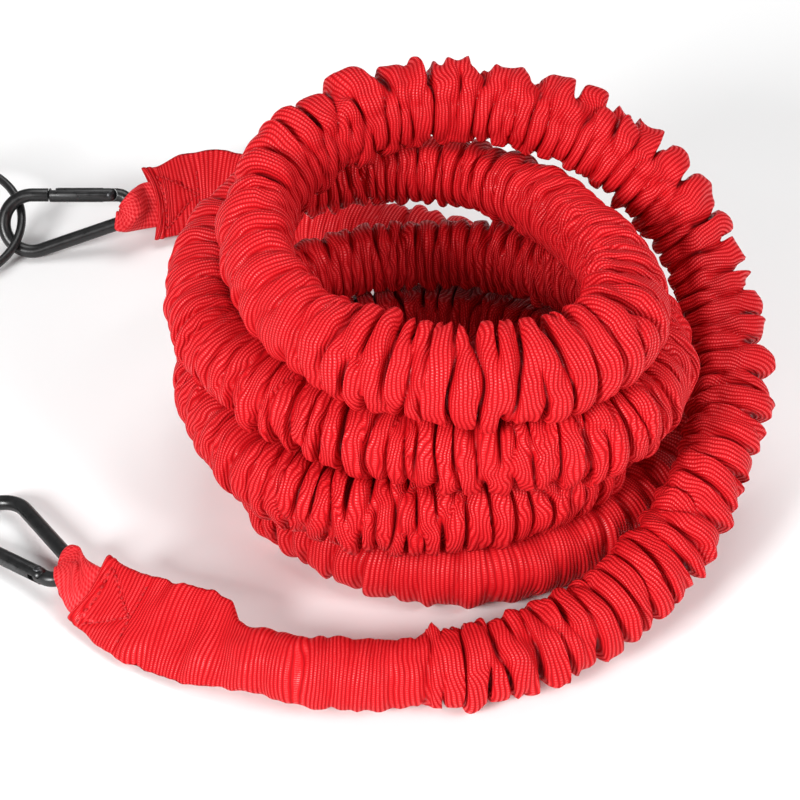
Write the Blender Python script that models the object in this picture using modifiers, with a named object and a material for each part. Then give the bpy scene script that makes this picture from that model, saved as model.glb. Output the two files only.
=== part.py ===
"""Resistance sprint trainer: a coiled elastic tow cord in a gathered webbing sleeve.

One metre-scaled assembly, +Z up, seen from -Y. A latex tube runs the whole length of a gathered
tubular sleeve; the sleeve lies in a stack of four and a half turns, its outermost turn climbing
over the stack. Both sleeve ends are sewn flat round a webbing loop, and each loop carries a
bent-wire snap hook with a sprung gate. A round ring hangs in the upper hook.
"""

import math

import bmesh
import bpy
import numpy as np
from mathutils import Matrix, Vector

MM = 0.001

# ---------------------------------------------------------------- driving dimensions (mm)
SLEEVE_R = 20.6  # gathered sleeve, centre to flat
SLEEVE_WALL = 3.0  # thickness of the gathered cloth
SIDES = 12  # facets round the sleeve
STEP = 30.0  # distance between sleeve sections
END_HALF_H = 20.0  # sewn end, half its width
END_HALF_T = 5.0  # sewn end, half its thickness
END_WALL = 2.0
FLAT_FROM, FLAT_TO = 30.0, 104.0  # distances from the mouth between flat and round
TUBE_R, TUBE_BORE = 8.0, 4.0  # latex tube
TUBE_START = 72.0  # from the mouth of the sleeve
TUBE_STEP = 42.0

WIRE = 4.0  # hook wire radius
WIDE_R, NARROW_R, SPAN = 16.8, 8.4, 50.5  # hook bends and the distance between them
PIVOT_X, NOSE_X = 46.5, 9.5  # gate hinge and the nose, along the gate side
GATE_R = 4.3
GAP = 0.35

RING_R, RING_WIRE = 41.4, 2.6

STRAP_T = 1.0  # half thickness of the loop strap
STRAP_HALF = 2.7  # half width where it's bunched in the hook
STRAP_TAIL = 12.5  # half width inside the sewn end

# Hook tips (centre of the wire at the narrow bend) and how the hooks lie.
LOWER_TIP, LOWER_YAW, LOWER_LEAN, LOWER_PITCH = (-168.5, -80.0, 12.2), -37.0, 86.0, 5.5
UPPER_TIP, UPPER_YAW, UPPER_LEAN, UPPER_PITCH = (-160.5, 220.2, 24.0), 0.0, 40.0, 0.0

# Mouths of the sleeve, with the lean of each sewn end.
LOWER_MOUTH, LOWER_END_LEAN = (-156.6, -96.6, 15.6), 55.0
UPPER_MOUTH, UPPER_END_LEAN = (-151.0, 227.5, 21.5), 40.0

# The whole object is moved so that its footprint is centred on the origin.
SHIFT = (61.03, -39.81, 0.0)

# The lie of the sleeve: turning angle about the stack's axis, distance from it, height.
AXIS_XY = (15.0, 0.0)
LAY = [
    (-127, 173, 19.4), (-115, 166.5, 20.6), (-103, 160.5, 20.6), (-92, 156, 20.6), (-80, 151.5, 20.6), (-68, 148, 20.8),
    (-56, 145, 22.5), (-44, 144, 28), (-33, 145, 35.5), (-22, 147.5, 44.5), (-11, 151, 54.5), (0, 154, 66.5),
    (9, 155.5, 80), (18, 155, 98), (27, 151.5, 119), (36, 142, 141), (47, 131, 157), (60, 119, 168),
    (74, 112, 172.5), (90, 107, 173), (110, 102, 172), (135, 98, 164), (158, 92.5, 155.5), (180, 85, 151),
    (205, 80, 149), (228, 80, 148.5), (246, 82, 148.5), (266, 86.5, 148.5), (284, 93, 148.5), (299, 99.5, 148.5),
    (312, 104, 148.5), (323, 105, 147.5), (335, 103, 145.5), (347, 98.5, 143), (360, 93.5, 140.5), (375, 90, 137.5),
    (391, 90.5, 134.5), (406, 94.5, 131.5), (421, 102.5, 129), (438, 112, 126.5), (455, 119.5, 124), (475, 128, 121),
    (490, 133.5, 117.5), (504, 132.5, 114), (519, 126, 111.5), (534, 116.5, 109.5), (548, 107, 108), (563, 97, 107),
    (581, 87.5, 106.5), (602, 85, 106), (620, 87, 106), (636, 92, 106), (650, 99, 106), (662, 106, 106),
    (673, 112, 106), (685, 117, 105.5), (700, 118.5, 104), (716, 115.5, 101.5), (736, 109, 96.5), (760, 102.5, 90),
    (785, 99, 85), (810, 99, 81.5), (835, 105, 77.5), (855, 113.5, 73.5), (872, 117.5, 69.5), (888, 116, 66.5),
    (904, 111, 65), (918, 106.5, 64), (932, 103, 63.5), (947, 99, 63.5), (963, 94.5, 63.5), (981, 90, 63.5),
    (1000, 89, 63.5), (1013, 90, 63.5), (1026, 91, 63.5), (1040, 91.5, 62.5), (1055, 92, 60), (1072, 93.5, 56.5),
    (1090, 94.5, 52), (1110, 94, 48), (1130, 92, 44.5), (1150, 91.5, 42), (1172, 93.5, 39.5), (1195, 97.5, 36.5),
    (1218, 99, 32), (1240, 94.5, 27), (1262, 86.5, 22.8), (1285, 81.5, 20.6), (1306, 80.5, 20.6), (1324, 82.5, 20.6),
    (1341, 85, 20.6), (1358, 89, 20.6), (1375, 93.5, 20.6), (1392, 98, 20.6), (1411, 106, 20.6), (1431, 118.5, 20.6),
    (1450, 131.5, 20.6), (1468, 142, 20.6), (1487, 152, 20.6), (1504, 163, 20.6), (1518, 175, 20.6), (1530, 189, 20.6),
    (1541, 208, 20.6), (1549, 231, 20.6), (1554, 254, 20.6),
]
LOWER_LEAD = (-123.5, -121.1, 16.8)  # second point of the lay, in line with the lower sewn end
UPPER_LEAD = (-117.5, 238.0, 21.0)


# ---------------------------------------------------------------- scene set-up
for old in list(bpy.data.objects):
    bpy.data.objects.remove(old, do_unlink=True)

part = bpy.data.collections.new("resistance_sprint_trainer")
cutters = bpy.data.collections.new("cutters")
bpy.context.scene.collection.children.link(part)
bpy.context.scene.collection.children.link(cutters)
cutters.hide_render = True


def material(name, colour, roughness, metallic=0.0):
    mat = bpy.data.materials.new(name)
    mat.use_nodes = True
    shader = mat.node_tree.nodes["Principled BSDF"]
    shader.inputs["Base Color"].default_value = (*colour, 1.0)
    shader.inputs["Roughness"].default_value = roughness
    shader.inputs["Metallic"].default_value = metallic
    return mat


def new_mesh(name, points, faces):
    mesh = bpy.data.meshes.new(name)
    mesh.from_pydata([tuple(float(c) * MM for c in p) for p in points], [], [tuple(int(i) for i in f) for f in faces])
    bm = bmesh.new()
    bm.from_mesh(mesh)
    bmesh.ops.remove_doubles(bm, verts=bm.verts, dist=0.00001)
    bmesh.ops.recalc_face_normals(bm, faces=bm.faces)
    bm.to_mesh(mesh)
    bm.free()
    return mesh


def solid(name, mesh, mat, frame=None):
    obj = bpy.data.objects.new(name, mesh)
    mesh.materials.clear()
    mesh.materials.append(mat)
    part.objects.link(obj)
    if frame is not None:
        obj.matrix_world = frame
    return obj


def cutter(name, mesh, frame):
    obj = bpy.data.objects.new(name, mesh)
    obj.hide_render = True
    obj.display_type = "WIRE"
    cutters.objects.link(obj)
    obj.matrix_world = frame
    return obj


def boolean(obj, other, operation):
    mod = obj.modifiers.new(operation.title() + "_" + other.name, "BOOLEAN")
    mod.operation = operation
    mod.solver = "EXACT"
    mod.object = other


# ---------------------------------------------------------------- small shape makers (mm)
def prism(name, outline, z0, z1):
    """A polygon in XY run from z0 to z1."""
    n = len(outline)
    points = [(x, y, z0) for x, y in outline] + [(x, y, z1) for x, y in outline]
    faces = [tuple(range(n))[::-1], tuple(range(n, 2 * n))]
    faces += [(i, (i + 1) % n, n + (i + 1) % n, n + i) for i in range(n)]
    return new_mesh(name, points, faces)


def circle(cx, cy, r, n=24, start=0.0):
    return [(cx + r * math.cos(start + 2 * math.pi * i / n), cy + r * math.sin(start + 2 * math.pi * i / n)) for i in range(n)]


def box_xy(x0, x1, y0, y1):
    return [(x0, y0), (x1, y0), (x1, y1), (x0, y1)]


def joined(name, meshes):
    """Several closed meshes in one, for a cutter."""
    bm = bmesh.new()
    for mesh in meshes:
        bm.from_mesh(mesh)
    mesh = bpy.data.meshes.new(name)
    bm.to_mesh(mesh)
    bm.free()
    return mesh


def turned(name, profile, steps, axis):
    """A lathe shape. profile is (along, radius), both ends on the axis; axis is X or Z."""
    mesh = bpy.data.meshes.new(name + "_profile")
    line = [(a, 0.0, r) if axis == "X" else (r, 0.0, a) for a, r in profile]
    mesh.from_pydata([tuple(c * MM for c in p) for p in line], [(i, i + 1) for i in range(len(line) - 1)], [])
    obj = bpy.data.objects.new(name + "_profile", mesh)
    bpy.context.scene.collection.objects.link(obj)
    mod = obj.modifiers.new("Screw", "SCREW")
    mod.axis = axis
    mod.angle = 2 * math.pi
    mod.steps = mod.render_steps = steps
    mod.use_merge_vertices = True
    mod.merge_threshold = 0.00001
    mod.use_normal_calculate = True
    graph = bpy.context.evaluated_depsgraph_get()
    made = bpy.data.meshes.new_from_object(obj.evaluated_get(graph))
    bpy.data.objects.remove(obj, do_unlink=True)
    bm = bmesh.new()
    bm.from_mesh(made)
    bmesh.ops.remove_doubles(bm, verts=bm.verts, dist=0.00001)
    bmesh.ops.recalc_face_normals(bm, faces=bm.faces)
    bm.to_mesh(made)
    bm.free()
    made.name = name
    return made


def wire(name, points, radius, resolution, cyclic=False):
    """A round wire along the points, from a poly curve."""
    curve = bpy.data.curves.new(name + "_curve", "CURVE")
    curve.dimensions = "3D"
    curve.bevel_depth = radius * MM
    curve.bevel_resolution = resolution
    curve.use_fill_caps = True
    spline = curve.splines.new("POLY")
    spline.points.add(len(points) - 1)
    for target, p in zip(spline.points, points):
        target.co = (p[0] * MM, p[1] * MM, p[2] * MM, 1.0)
    spline.use_cyclic_u = cyclic
    obj = bpy.data.objects.new(name + "_curve", curve)
    bpy.context.scene.collection.objects.link(obj)
    graph = bpy.context.evaluated_depsgraph_get()
    made = bpy.data.meshes.new_from_object(obj.evaluated_get(graph))
    bpy.data.objects.remove(obj, do_unlink=True)
    bm = bmesh.new()
    bm.from_mesh(made)
    bmesh.ops.remove_doubles(bm, verts=bm.verts, dist=0.00001)
    bmesh.ops.recalc_face_normals(bm, faces=bm.faces)
    bm.to_mesh(made)
    bm.free()
    made.name = name
    return made


def loft(name, rings, inner=None):
    """Skins equal-length rings of points; with inner rings the wall between the two is the solid."""
    rings = np.asarray(rings, float)
    count, n = rings.shape[:2]
    points = rings.reshape(-1, 3).tolist()
    faces = []

    def skin(base, flip):
        for i in range(count - 1):
            for k in range(n):
                a, b = base + i * n + k, base + i * n + (k + 1) % n
                quad = (a, b, b + n, a + n)
                faces.append(quad[::-1] if flip else quad)

    skin(0, False)
    if inner is None:
        faces.append(tuple(range(n))[::-1])
        faces.append(tuple(range((count - 1) * n, count * n)))
    else:
        base = count * n
        points += np.asarray(inner, float).reshape(-1, 3).tolist()
        skin(base, True)
        for k in range(n):
            k1 = (k + 1) % n
            faces.append((k1, k, base + k, base + k1))
            last = (count - 1) * n
            faces.append((last + k, last + k1, base + last + k1, base + last + k))
    return new_mesh(name, points, faces)


# ---------------------------------------------------------------- the lay of the sleeve
def natural_spline(knots, values, at):
    """Natural cubic through (knots, values), read at the given places."""
    n = len(knots)
    h = np.diff(knots)
    a = np.zeros((n, n))
    b = np.zeros((n, values.shape[1]))
    a[0, 0] = a[-1, -1] = 1.0
    for i in range(1, n - 1):
        a[i, i - 1], a[i, i], a[i, i + 1] = h[i - 1], 2 * (h[i - 1] + h[i]), h[i]
        b[i] = 6 * ((values[i + 1] - values[i]) / h[i] - (values[i] - values[i - 1]) / h[i - 1])
    m = np.linalg.solve(a, b)
    k = np.clip(np.searchsorted(knots, at) - 1, 0, n - 2)
    t = (at - knots[k])[:, None]
    hk = h[k][:, None]
    slope = (values[k + 1] - values[k]) / hk - hk * (2 * m[k] + m[k + 1]) / 6
    return values[k] + t * slope + m[k] / 2 * t**2 + (m[k + 1] - m[k]) / (6 * hk) * t**3


def route():
    """Fine points down the middle of the sleeve, and the distance along them."""
    lower, lead = np.array(LOWER_MOUTH), np.array(LOWER_LEAD)
    upper, lead_u = np.array(UPPER_MOUTH), np.array(UPPER_LEAD)
    rows = [lower, (lower + lead) / 2, lead]
    rows += [
        np.array([AXIS_XY[0] + r * math.cos(math.radians(a)), AXIS_XY[1] + r * math.sin(math.radians(a)), z])
        for a, r, z in LAY
    ]
    rows += [lead_u, (upper + lead_u) / 2, upper]
    rows = np.array(rows)
    knots = np.r_[0.0, np.cumsum(np.linalg.norm(np.diff(rows, axis=0), axis=1))]
    line = natural_spline(knots, rows, np.linspace(0.0, knots[-1], 8000))
    k = np.arange(-90, 91)
    weight = np.exp(-0.5 * (k / 30.0) ** 2)
    weight /= weight.sum()
    wide = np.concatenate([2 * line[:1] - line[90:0:-1], line, 2 * line[-1:] - line[-2:-92:-1]])
    line = np.stack([np.convolve(wide[:, i], weight, "valid") for i in range(3)], 1)
    along = np.r_[0.0, np.cumsum(np.linalg.norm(np.diff(line, axis=0), axis=1))]
    low = np.minimum(along, along[-1] - along) > 110.0
    line[:, 2] = np.where(low, np.maximum(line[:, 2], SLEEVE_R), line[:, 2])
    return line, along


LINE, ALONG = route()
LENGTH = float(ALONG[-1])


def at(s):
    p = np.array([np.interp(s, ALONG, LINE[:, k]) for k in range(3)])
    ahead = np.array([np.interp(min(s + 2.0, LENGTH), ALONG, LINE[:, k]) for k in range(3)])
    behind = np.array([np.interp(max(s - 2.0, 0.0), ALONG, LINE[:, k]) for k in range(3)])
    t = ahead - behind
    t /= np.linalg.norm(t)
    side = np.cross([0.0, 0.0, 1.0], t)
    side /= np.linalg.norm(side)
    return p, t, side, np.cross(t, side)


def smooth(x):
    x = min(max(x, 0.0), 1.0)
    return x * x * (3 - 2 * x)


def roundness(s):
    return smooth((min(s, LENGTH - s) - FLAT_FROM) / (FLAT_TO - FLAT_FROM))


def section_frame(s):
    """Middle, thickness direction and width direction of the sleeve's section."""
    p, t, side, up = at(s)
    lean = LOWER_END_LEAN * (1 - smooth((s - 30) / 130)) - UPPER_END_LEAN * (1 - smooth((LENGTH - s - 30) / 130))
    c, d = math.cos(math.radians(lean)), math.sin(math.radians(lean))
    return p, c * side - d * up, c * up + d * side


ANGLES = [math.radians(15 + 30 * k) for k in range(SIDES)]
FLAT_SHAPE = [
    (math.copysign(0.42 if abs(math.sin(a)) > 0.9 else 1.0, math.cos(a)),
     math.copysign({0: 0.30, 1: 0.76, 2: 1.0}[min(2, int(abs(math.degrees(math.asin(math.sin(a)))) // 30))], math.sin(a)))
    for a in ANGLES
]


def section(s, inset_round, inset_flat):
    p, across, up = section_frame(s)
    f = roundness(s)
    r = (SLEEVE_R - inset_round) / math.cos(math.radians(15))
    ring = []
    for a, (fx, fy) in zip(ANGLES, FLAT_SHAPE):
        x = f * r * math.cos(a) + (1 - f) * (END_HALF_T - inset_flat) * fx
        y = f * r * math.sin(a) + (1 - f) * (END_HALF_H - inset_flat) * fy
        q = p + across * x + up * y
        q[2] = max(q[2], 0.0 + inset_flat * (inset_flat > 0))
        ring.append(q)
    return ring


def stations(first, last, step, extra=()):
    count = max(2, int(round((last - first) / step)))
    return sorted(set(np.linspace(first, last, count + 1).tolist()) | set(extra))


shift = Vector([c * MM for c in SHIFT])
WORLD = Matrix.Translation(shift)

red = material("gathered_webbing", (0.72, 0.012, 0.02), 0.78)
latex = material("latex_tube", (0.62, 0.48, 0.26), 0.5)
thread = material("sewing_thread", (0.66, 0.01, 0.02), 0.7)
strap_red = material("strap_webbing", (0.70, 0.012, 0.02), 0.8)
black = material("black_coated_steel", (0.012, 0.012, 0.013), 0.35, 0.6)
zinc = material("zinc_steel", (0.55, 0.56, 0.58), 0.35, 1.0)
spring_steel = material("spring_steel", (0.42, 0.43, 0.45), 0.3, 1.0)
nylon = material("nylon", (0.03, 0.03, 0.035), 0.5)

ends = (0.0, 12.0, 24.0, 40.0)
sleeve_at = stations(60.0, LENGTH - 60.0, STEP, [*ends, *(LENGTH - e for e in ends)])
solid(
    "sleeve",
    loft("sleeve", [section(s, 0, 0) for s in sleeve_at], [section(s, SLEEVE_WALL, END_WALL) for s in sleeve_at]),
    red,
    WORLD,
)


def round_ring(s, radius, n=8):
    p, _t, side, up = at(s)
    r = radius / math.cos(math.pi / n)
    return [p + side * r * math.cos(2 * math.pi * k / n) + up * r * math.sin(2 * math.pi * k / n) for k in range(n)]


tube_at = stations(TUBE_START, LENGTH - TUBE_START, TUBE_STEP, (TUBE_START + 18.0, LENGTH - TUBE_START - 18.0))
solid(
    "latex_tube",
    loft("latex_tube", [round_ring(s, TUBE_R) for s in tube_at], [round_ring(s, TUBE_BORE) for s in tube_at]),
    latex,
    WORLD,
)


# ---------------------------------------------------------------- hooks
def hook_line():
    """Middle of the hook wire, from the gate hinge round to the nose."""
    spine = math.degrees(2 * math.atan2(WIDE_R - NARROW_R, SPAN))
    points = [(PIVOT_X - 3.2, 0.0)]
    a = 90.0
    while a > -90.0 + spine:
        points.append((SPAN + NARROW_R * math.cos(math.radians(a)), -NARROW_R + NARROW_R * math.sin(math.radians(a))))
        a -= 22.5
    a = -90.0 + spine
    points.append((SPAN + NARROW_R * math.cos(math.radians(a)), -NARROW_R + NARROW_R * math.sin(math.radians(a))))
    while a > -270.0:
        points.append((WIDE_R * math.cos(math.radians(a)), -WIDE_R + WIDE_R * math.sin(math.radians(a))))
        a -= 20.0
    points.append((0.0, 0.0))
    points.append((NOSE_X, 0.0))
    return [(x, y, 0.0) for x, y in points]


def hook_axes(yaw, lean, pitch):
    """Along the hook from its wide end, up in its plane, and out of its plane."""
    y, l, p = (math.radians(v) for v in (yaw, lean, pitch))
    along = Vector((math.cos(y) * math.cos(p), math.sin(y) * math.cos(p), math.sin(p)))
    level = Vector((-math.sin(y), math.cos(y), 0.0))
    up = along.cross(level)
    if up.z < 0:
        up = -up
    rise = (up * math.cos(l) + level * math.sin(l)).normalized()
    return along, rise, along.cross(rise)


def frame_matrix(origin, x, y, z):
    m = Matrix.Identity(4)
    for i, axis in enumerate((x, y, z)):
        for k in range(3):
            m[k][i] = axis[k]
    m.translation = Vector([c * MM for c in origin]) + shift
    return m


def hook(prefix, tip, yaw, lean, pitch, gate_up):
    along, rise, out = hook_axes(yaw, lean, pitch)
    if not gate_up:
        rise, out = -rise, -out
    origin = Vector(tip) - along * (SPAN + NARROW_R) + rise * NARROW_R
    frame = frame_matrix(origin, along, rise, out)
    hinge = frame @ Matrix.Translation(Vector((PIVOT_X * MM, 0, 0)))

    body = solid(prefix + "_hook_body", wire(prefix + "_hook_body", hook_line(), WIRE, 4), black, frame)
    tongue = prism("t", box_xy(NOSE_X - 1.5, NOSE_X + 5.2, -2.3, 2.3), -1.2, 1.2)
    boolean(body, cutter(prefix + "_nose_tongue", tongue, frame), "UNION")
    cheeks = []
    for z0, z1 in ((1.4, 7.0), (-7.0, -1.4)):
        outline = [(PIVOT_X - 6.0, -7.0)]
        outline += [(PIVOT_X + 4.75 * math.cos(math.radians(a)), 4.75 * math.sin(math.radians(a))) for a in range(-90, 91, 15)]
        outline[1] = (PIVOT_X, -7.0)
        outline[-1] = (PIVOT_X, 7.0)
        outline += [(PIVOT_X - 6.0, 7.0)]
        cheeks.append(prism("c", outline, z0, z1))
    boolean(body, cutter(prefix + "_cheek_cut", joined(prefix + "_cheek_cut", cheeks), frame), "DIFFERENCE")
    corner = [(PIVOT_X - 4.2, 2.2), (PIVOT_X - 3.2, 2.2), (PIVOT_X - 2.3, 3.1), (PIVOT_X - 1.0, 3.7), (PIVOT_X - 0.2, 3.75),
              (PIVOT_X - 0.2, 7.0), (PIVOT_X - 4.2, 7.0)]
    corners = [prism("k", corner, -3, 3), prism("k", [(x, -y) for x, y in corner][::-1], -3, 3)]
    boolean(body, cutter(prefix + "_tongue_corners", joined(prefix + "_tongue_corners", corners), frame), "DIFFERENCE")
    holes = [prism("h", circle(PIVOT_X, 0, 1.65, 16), -3, 3)]
    holes.append(prism("h", circle(NOSE_X + 3.2, 0, 1.3, 12), -3, 3))
    boolean(body, cutter(prefix + "_body_holes", joined(prefix + "_body_holes", holes), frame), "DIFFERENCE")

    # The gate turns about the hinge pin; its own origin is on that axis.
    x0 = NOSE_X + 0.8 - PIVOT_X
    profile = [(x0, 0.0), (x0, GATE_R - 0.5), (x0 + 0.5, GATE_R), (0.0, GATE_R)]
    profile += [(GATE_R * math.sin(math.radians(a)), GATE_R * math.cos(math.radians(a))) for a in (22.5, 45, 67.5)] + [(GATE_R, 0.0)]
    gate = solid(prefix + "_gate", turned(prefix + "_gate", profile, 16, "X"), black, hinge)
    slot = prism("s", box_xy(-GATE_R, 6.0, -7.0, 7.0), -1.75, 1.75)
    nose_slot = prism("s", box_xy(x0 - 1.0, NOSE_X + 6.0 - PIVOT_X, -2.8, 7.0), -1.6, 1.6)
    boolean(gate, cutter(prefix + "_gate_slot", joined(prefix + "_gate_slot", [slot, nose_slot]), hinge), "DIFFERENCE")
    notch = prism("n", box_xy(NOSE_X + 1.6 - PIVOT_X, NOSE_X + 4.8 - PIVOT_X, -1.8, 7.0), -3.4, 3.4)
    pin_hole = prism("n", circle(0, 0, 1.68, 16), -7, 7)
    boolean(gate, cutter(prefix + "_gate_notch", joined(prefix + "_gate_notch", [notch, pin_hole]), hinge), "DIFFERENCE")
    bore = turned("bore", [(-23.0, 0.0), (-23.0, 2.3), (-3.8, 2.3), (-3.8, 0.0)], 12, "X")
    boolean(gate, cutter(prefix + "_gate_bore", bore, hinge), "DIFFERENCE")

    pin = turned(prefix + "_hinge_pin",
                 [(-5.4, 0), (-5.3, 1.6), (-4.65, 2.2), (-4.65, 1.32), (4.65, 1.32), (4.65, 2.2), (5.3, 1.6), (5.4, 0)], 16, "Z")
    solid(prefix + "_hinge_pin", pin, zinc, hinge)
    latch = turned(prefix + "_latch_pin", [(-3.0, 0), (-3.0, 0.97), (3.0, 0.97), (3.0, 0)], 12, "Z")
    solid(prefix + "_latch_pin", latch, zinc, frame @ Matrix.Translation(Vector(((NOSE_X + 3.2) * MM, 0, 0))))

    turns, n = 5, 9
    coil = [(-21.5 + 10.5 * i / (turns * n), 1.6 * math.cos(2 * math.pi * i / n), 1.6 * math.sin(2 * math.pi * i / n)) for i in range(turns * n + 1)]
    solid(prefix + "_gate_spring", wire(prefix + "_gate_spring", coil, 0.3, 2), spring_steel, hinge)
    plunger = turned(prefix + "_spring_plunger",
                     [(-18.5, 0), (-18.5, 0.9), (-9.3, 0.9), (-9.3, 1.9), (-4.6, 1.9), (-3.8, 1.3), (-3.55, 0)], 12, "X")
    solid(prefix + "_spring_plunger", plunger, nylon, hinge)
    return frame, along, rise, out


lower_frame, l_along, l_rise, l_out = hook("lower", LOWER_TIP, LOWER_YAW, LOWER_LEAN, LOWER_PITCH, False)
upper_frame, u_along, u_rise, u_out = hook("upper", UPPER_TIP, UPPER_YAW, UPPER_LEAN, UPPER_PITCH, True)


# ---------------------------------------------------------------- loop straps
def strap(name, tip, along, rise, s_mouth, inward):
    """A band from inside the sewn end, round the hook's narrow bend and back inside."""
    tip, along, rise = np.array(tip), np.array(along), np.array(rise)
    if rise[2] < 0:
        rise = -rise
    out = np.cross(along, rise)
    mouth, _t, _side, _up = at(s_mouth)
    turn = tip - along * 0.9

    def in_sleeve(distance):
        p, across, width = section_frame(s_mouth + inward * distance)
        return p, across * math.copysign(1, np.dot(across, out)), width * math.copysign(1, np.dot(width, rise))

    rows = []
    for sign, order in ((1, (0, 1, 2, 3, 4, 5)), (-1, (5, 4, 3, 2, 1, 0))):
        leg = []
        for k in order:
            if k < 3:
                distance, half = ((36, STRAP_TAIL), (20, STRAP_TAIL), (5, STRAP_TAIL - 2))[k]
                p, across, width = in_sleeve(distance)
                leg.append((p + across * 1.4 * sign, width, across, half))
            if k == 3:
                _p, across, width = in_sleeve(0)
                leg.append((mouth - inward * _t * 2.2 + across * 1.5 * sign, width, across, STRAP_TAIL - 4))
            if k == 4:
                w = width + rise
                n = across + out
                leg.append((mouth * 0.5 + (tip + along * 6.5) * 0.5 + (n / np.linalg.norm(n)) * 3.6 * sign, w / np.linalg.norm(w), n / np.linalg.norm(n), 5.0))
            if k == 5:
                leg.append((turn + along * 3.6 + out * 5.75 * sign, rise, out, STRAP_HALF))
        if sign == 1:
            rows += leg
            for a in range(0, 181, 30):
                c, d = math.cos(math.radians(a)), math.sin(math.radians(a))
                normal = out * c * 5.6 - along * d * 5.85
                rows.append((turn + normal, rise, normal / np.linalg.norm(normal), STRAP_HALF))
        else:
            rows += leg
    rings = []
    for k, (p, w, n, half) in enumerate(rows):
        nxt = rows[min(k + 1, len(rows) - 1)][0]
        prev = rows[max(k - 1, 0)][0]
        t_here = (nxt - prev) / np.linalg.norm(nxt - prev)
        w = w - t_here * np.dot(w, t_here)
        w /= np.linalg.norm(w)
        n = np.cross(t_here, w)
        rings.append([p + w * half + n * STRAP_T, p + w * half - n * STRAP_T, p - w * half - n * STRAP_T, p - w * half + n * STRAP_T])
    return loft(name, rings)


solid("lower_loop_strap", strap("lower_loop_strap", LOWER_TIP, l_along, l_rise, 0.0, 1.0), strap_red, WORLD)
solid("upper_loop_strap", strap("upper_loop_strap", UPPER_TIP, u_along, u_rise, LENGTH, -1.0), strap_red, WORLD)


# ---------------------------------------------------------------- sewn ends: stitching, plugs and ties
def stitching(name, s_mouth, inward, face):
    """A box with two diagonals, standing on one face of the sewn end."""
    middle, t, _side, _up = at(s_mouth + inward * 19.0)
    mouth = middle - t * inward * 19.0
    _p, across, width = section_frame(s_mouth + inward * 19.0)
    x, y = Vector(t * inward), Vector(width)
    y = (y - x * x.dot(y)).normalized()
    z = x.cross(y)
    if z.dot(Vector(across)) * face < 0:
        y, z = -y, -z
    frame = frame_matrix(mouth, x, y, z)
    z0, z1 = END_HALF_T + GAP + 0.1, END_HALF_T + GAP + 0.7
    x0, x1, h, b = 8.5, 25.0, 11.5, 0.8
    bars = [box_xy(x0, x1, h - b, h), box_xy(x0, x1, -h, -h + b), box_xy(x0, x0 + b, -h, h), box_xy(x1 - b, x1, -h, h)]
    for s in (1, -1):
        ang = math.atan2(2 * h - b, (x1 - x0) - b) * s
        cx, half = (x0 + x1) / 2, math.hypot(2 * h - b, (x1 - x0) - b) / 2
        c, d = math.cos(ang), math.sin(ang)
        bars.append([(cx + c * u - d * v, d * u + c * v) for u, v in ((-half, -b / 2), (half, -b / 2), (half, b / 2), (-half, b / 2))])
    obj = solid(name, prism(name, bars[0], z0, z1), thread, frame)
    for i, bar in enumerate(bars[1:]):
        boolean(obj, cutter(f"{name}_bar{i}", prism("b", bar, z0, z1), frame), "UNION")


for name, s_mouth, inward in (("lower", 0.0, 1.0), ("upper", LENGTH, -1.0)):
    stitching(name + "_stitching_front", s_mouth, inward, 1)
    stitching(name + "_stitching_back", s_mouth, inward, -1)

    def place(distance):
        s = s_mouth + inward * distance
        p, t, side, up = at(s)
        x = Vector(t * inward)
        y = Vector(up)
        y = (y - x * x.dot(y)).normalized()
        return frame_matrix(p, x, y, x.cross(y))

    plug = turned(name + "_tube_plug",
                  [(-9.0, 0), (-8.6, 5.0), (-7.0, 7.2), (-2.4, 7.6), (-GAP, 7.2), (-GAP, 3.5), (13.0, 3.5), (14.0, 2.6), (14.0, 0)], 12, "X")
    solid(name + "_tube_plug", plug, nylon, place(TUBE_START))
    band_outer = turned("band", [(-3.0, 0), (-3.0, 11.2), (3.0, 11.2), (3.0, 0)], 16, "X")
    band = solid(name + "_tie_band", band_outer, nylon, place(TUBE_START + 9.0))
    band_hole = turned("hole", [(-6.0, 0), (-6.0, 9.7), (6.0, 9.7), (6.0, 0)], 16, "X")
    boolean(band, cutter(name + "_band_hole", band_hole, place(TUBE_START + 9.0)), "DIFFERENCE")

# ---------------------------------------------------------------- the ring in the upper hook
view_back = Vector((0.0, 0.766, -0.643))
ring_up = (u_rise * math.cos(math.radians(30)) + view_back * math.sin(math.radians(30))).normalized()
ring_right = Vector((1.0, 0.0, 0.0))
ring_right = (ring_right - ring_up * ring_right.dot(ring_up)).normalized()
ring_out = ring_right.cross(ring_up)
link = Vector(UPPER_TIP) - u_along * (SPAN + NARROW_R) + u_rise * NARROW_R + u_along * -6.5 - u_rise * WIDE_R
ring_frame = frame_matrix(link, ring_right, ring_up, ring_out)
loop_points = [(-RING_R + RING_R * math.cos(2 * math.pi * i / 36), RING_R * math.sin(2 * math.pi * i / 36), 0.0) for i in range(36)]
solid("belt_ring", wire("belt_ring", loop_points, RING_WIRE, 3, cyclic=True), black, ring_frame)
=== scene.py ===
import math

import bmesh
import bpy
import numpy as np
from mathutils import Matrix, Vector


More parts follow.
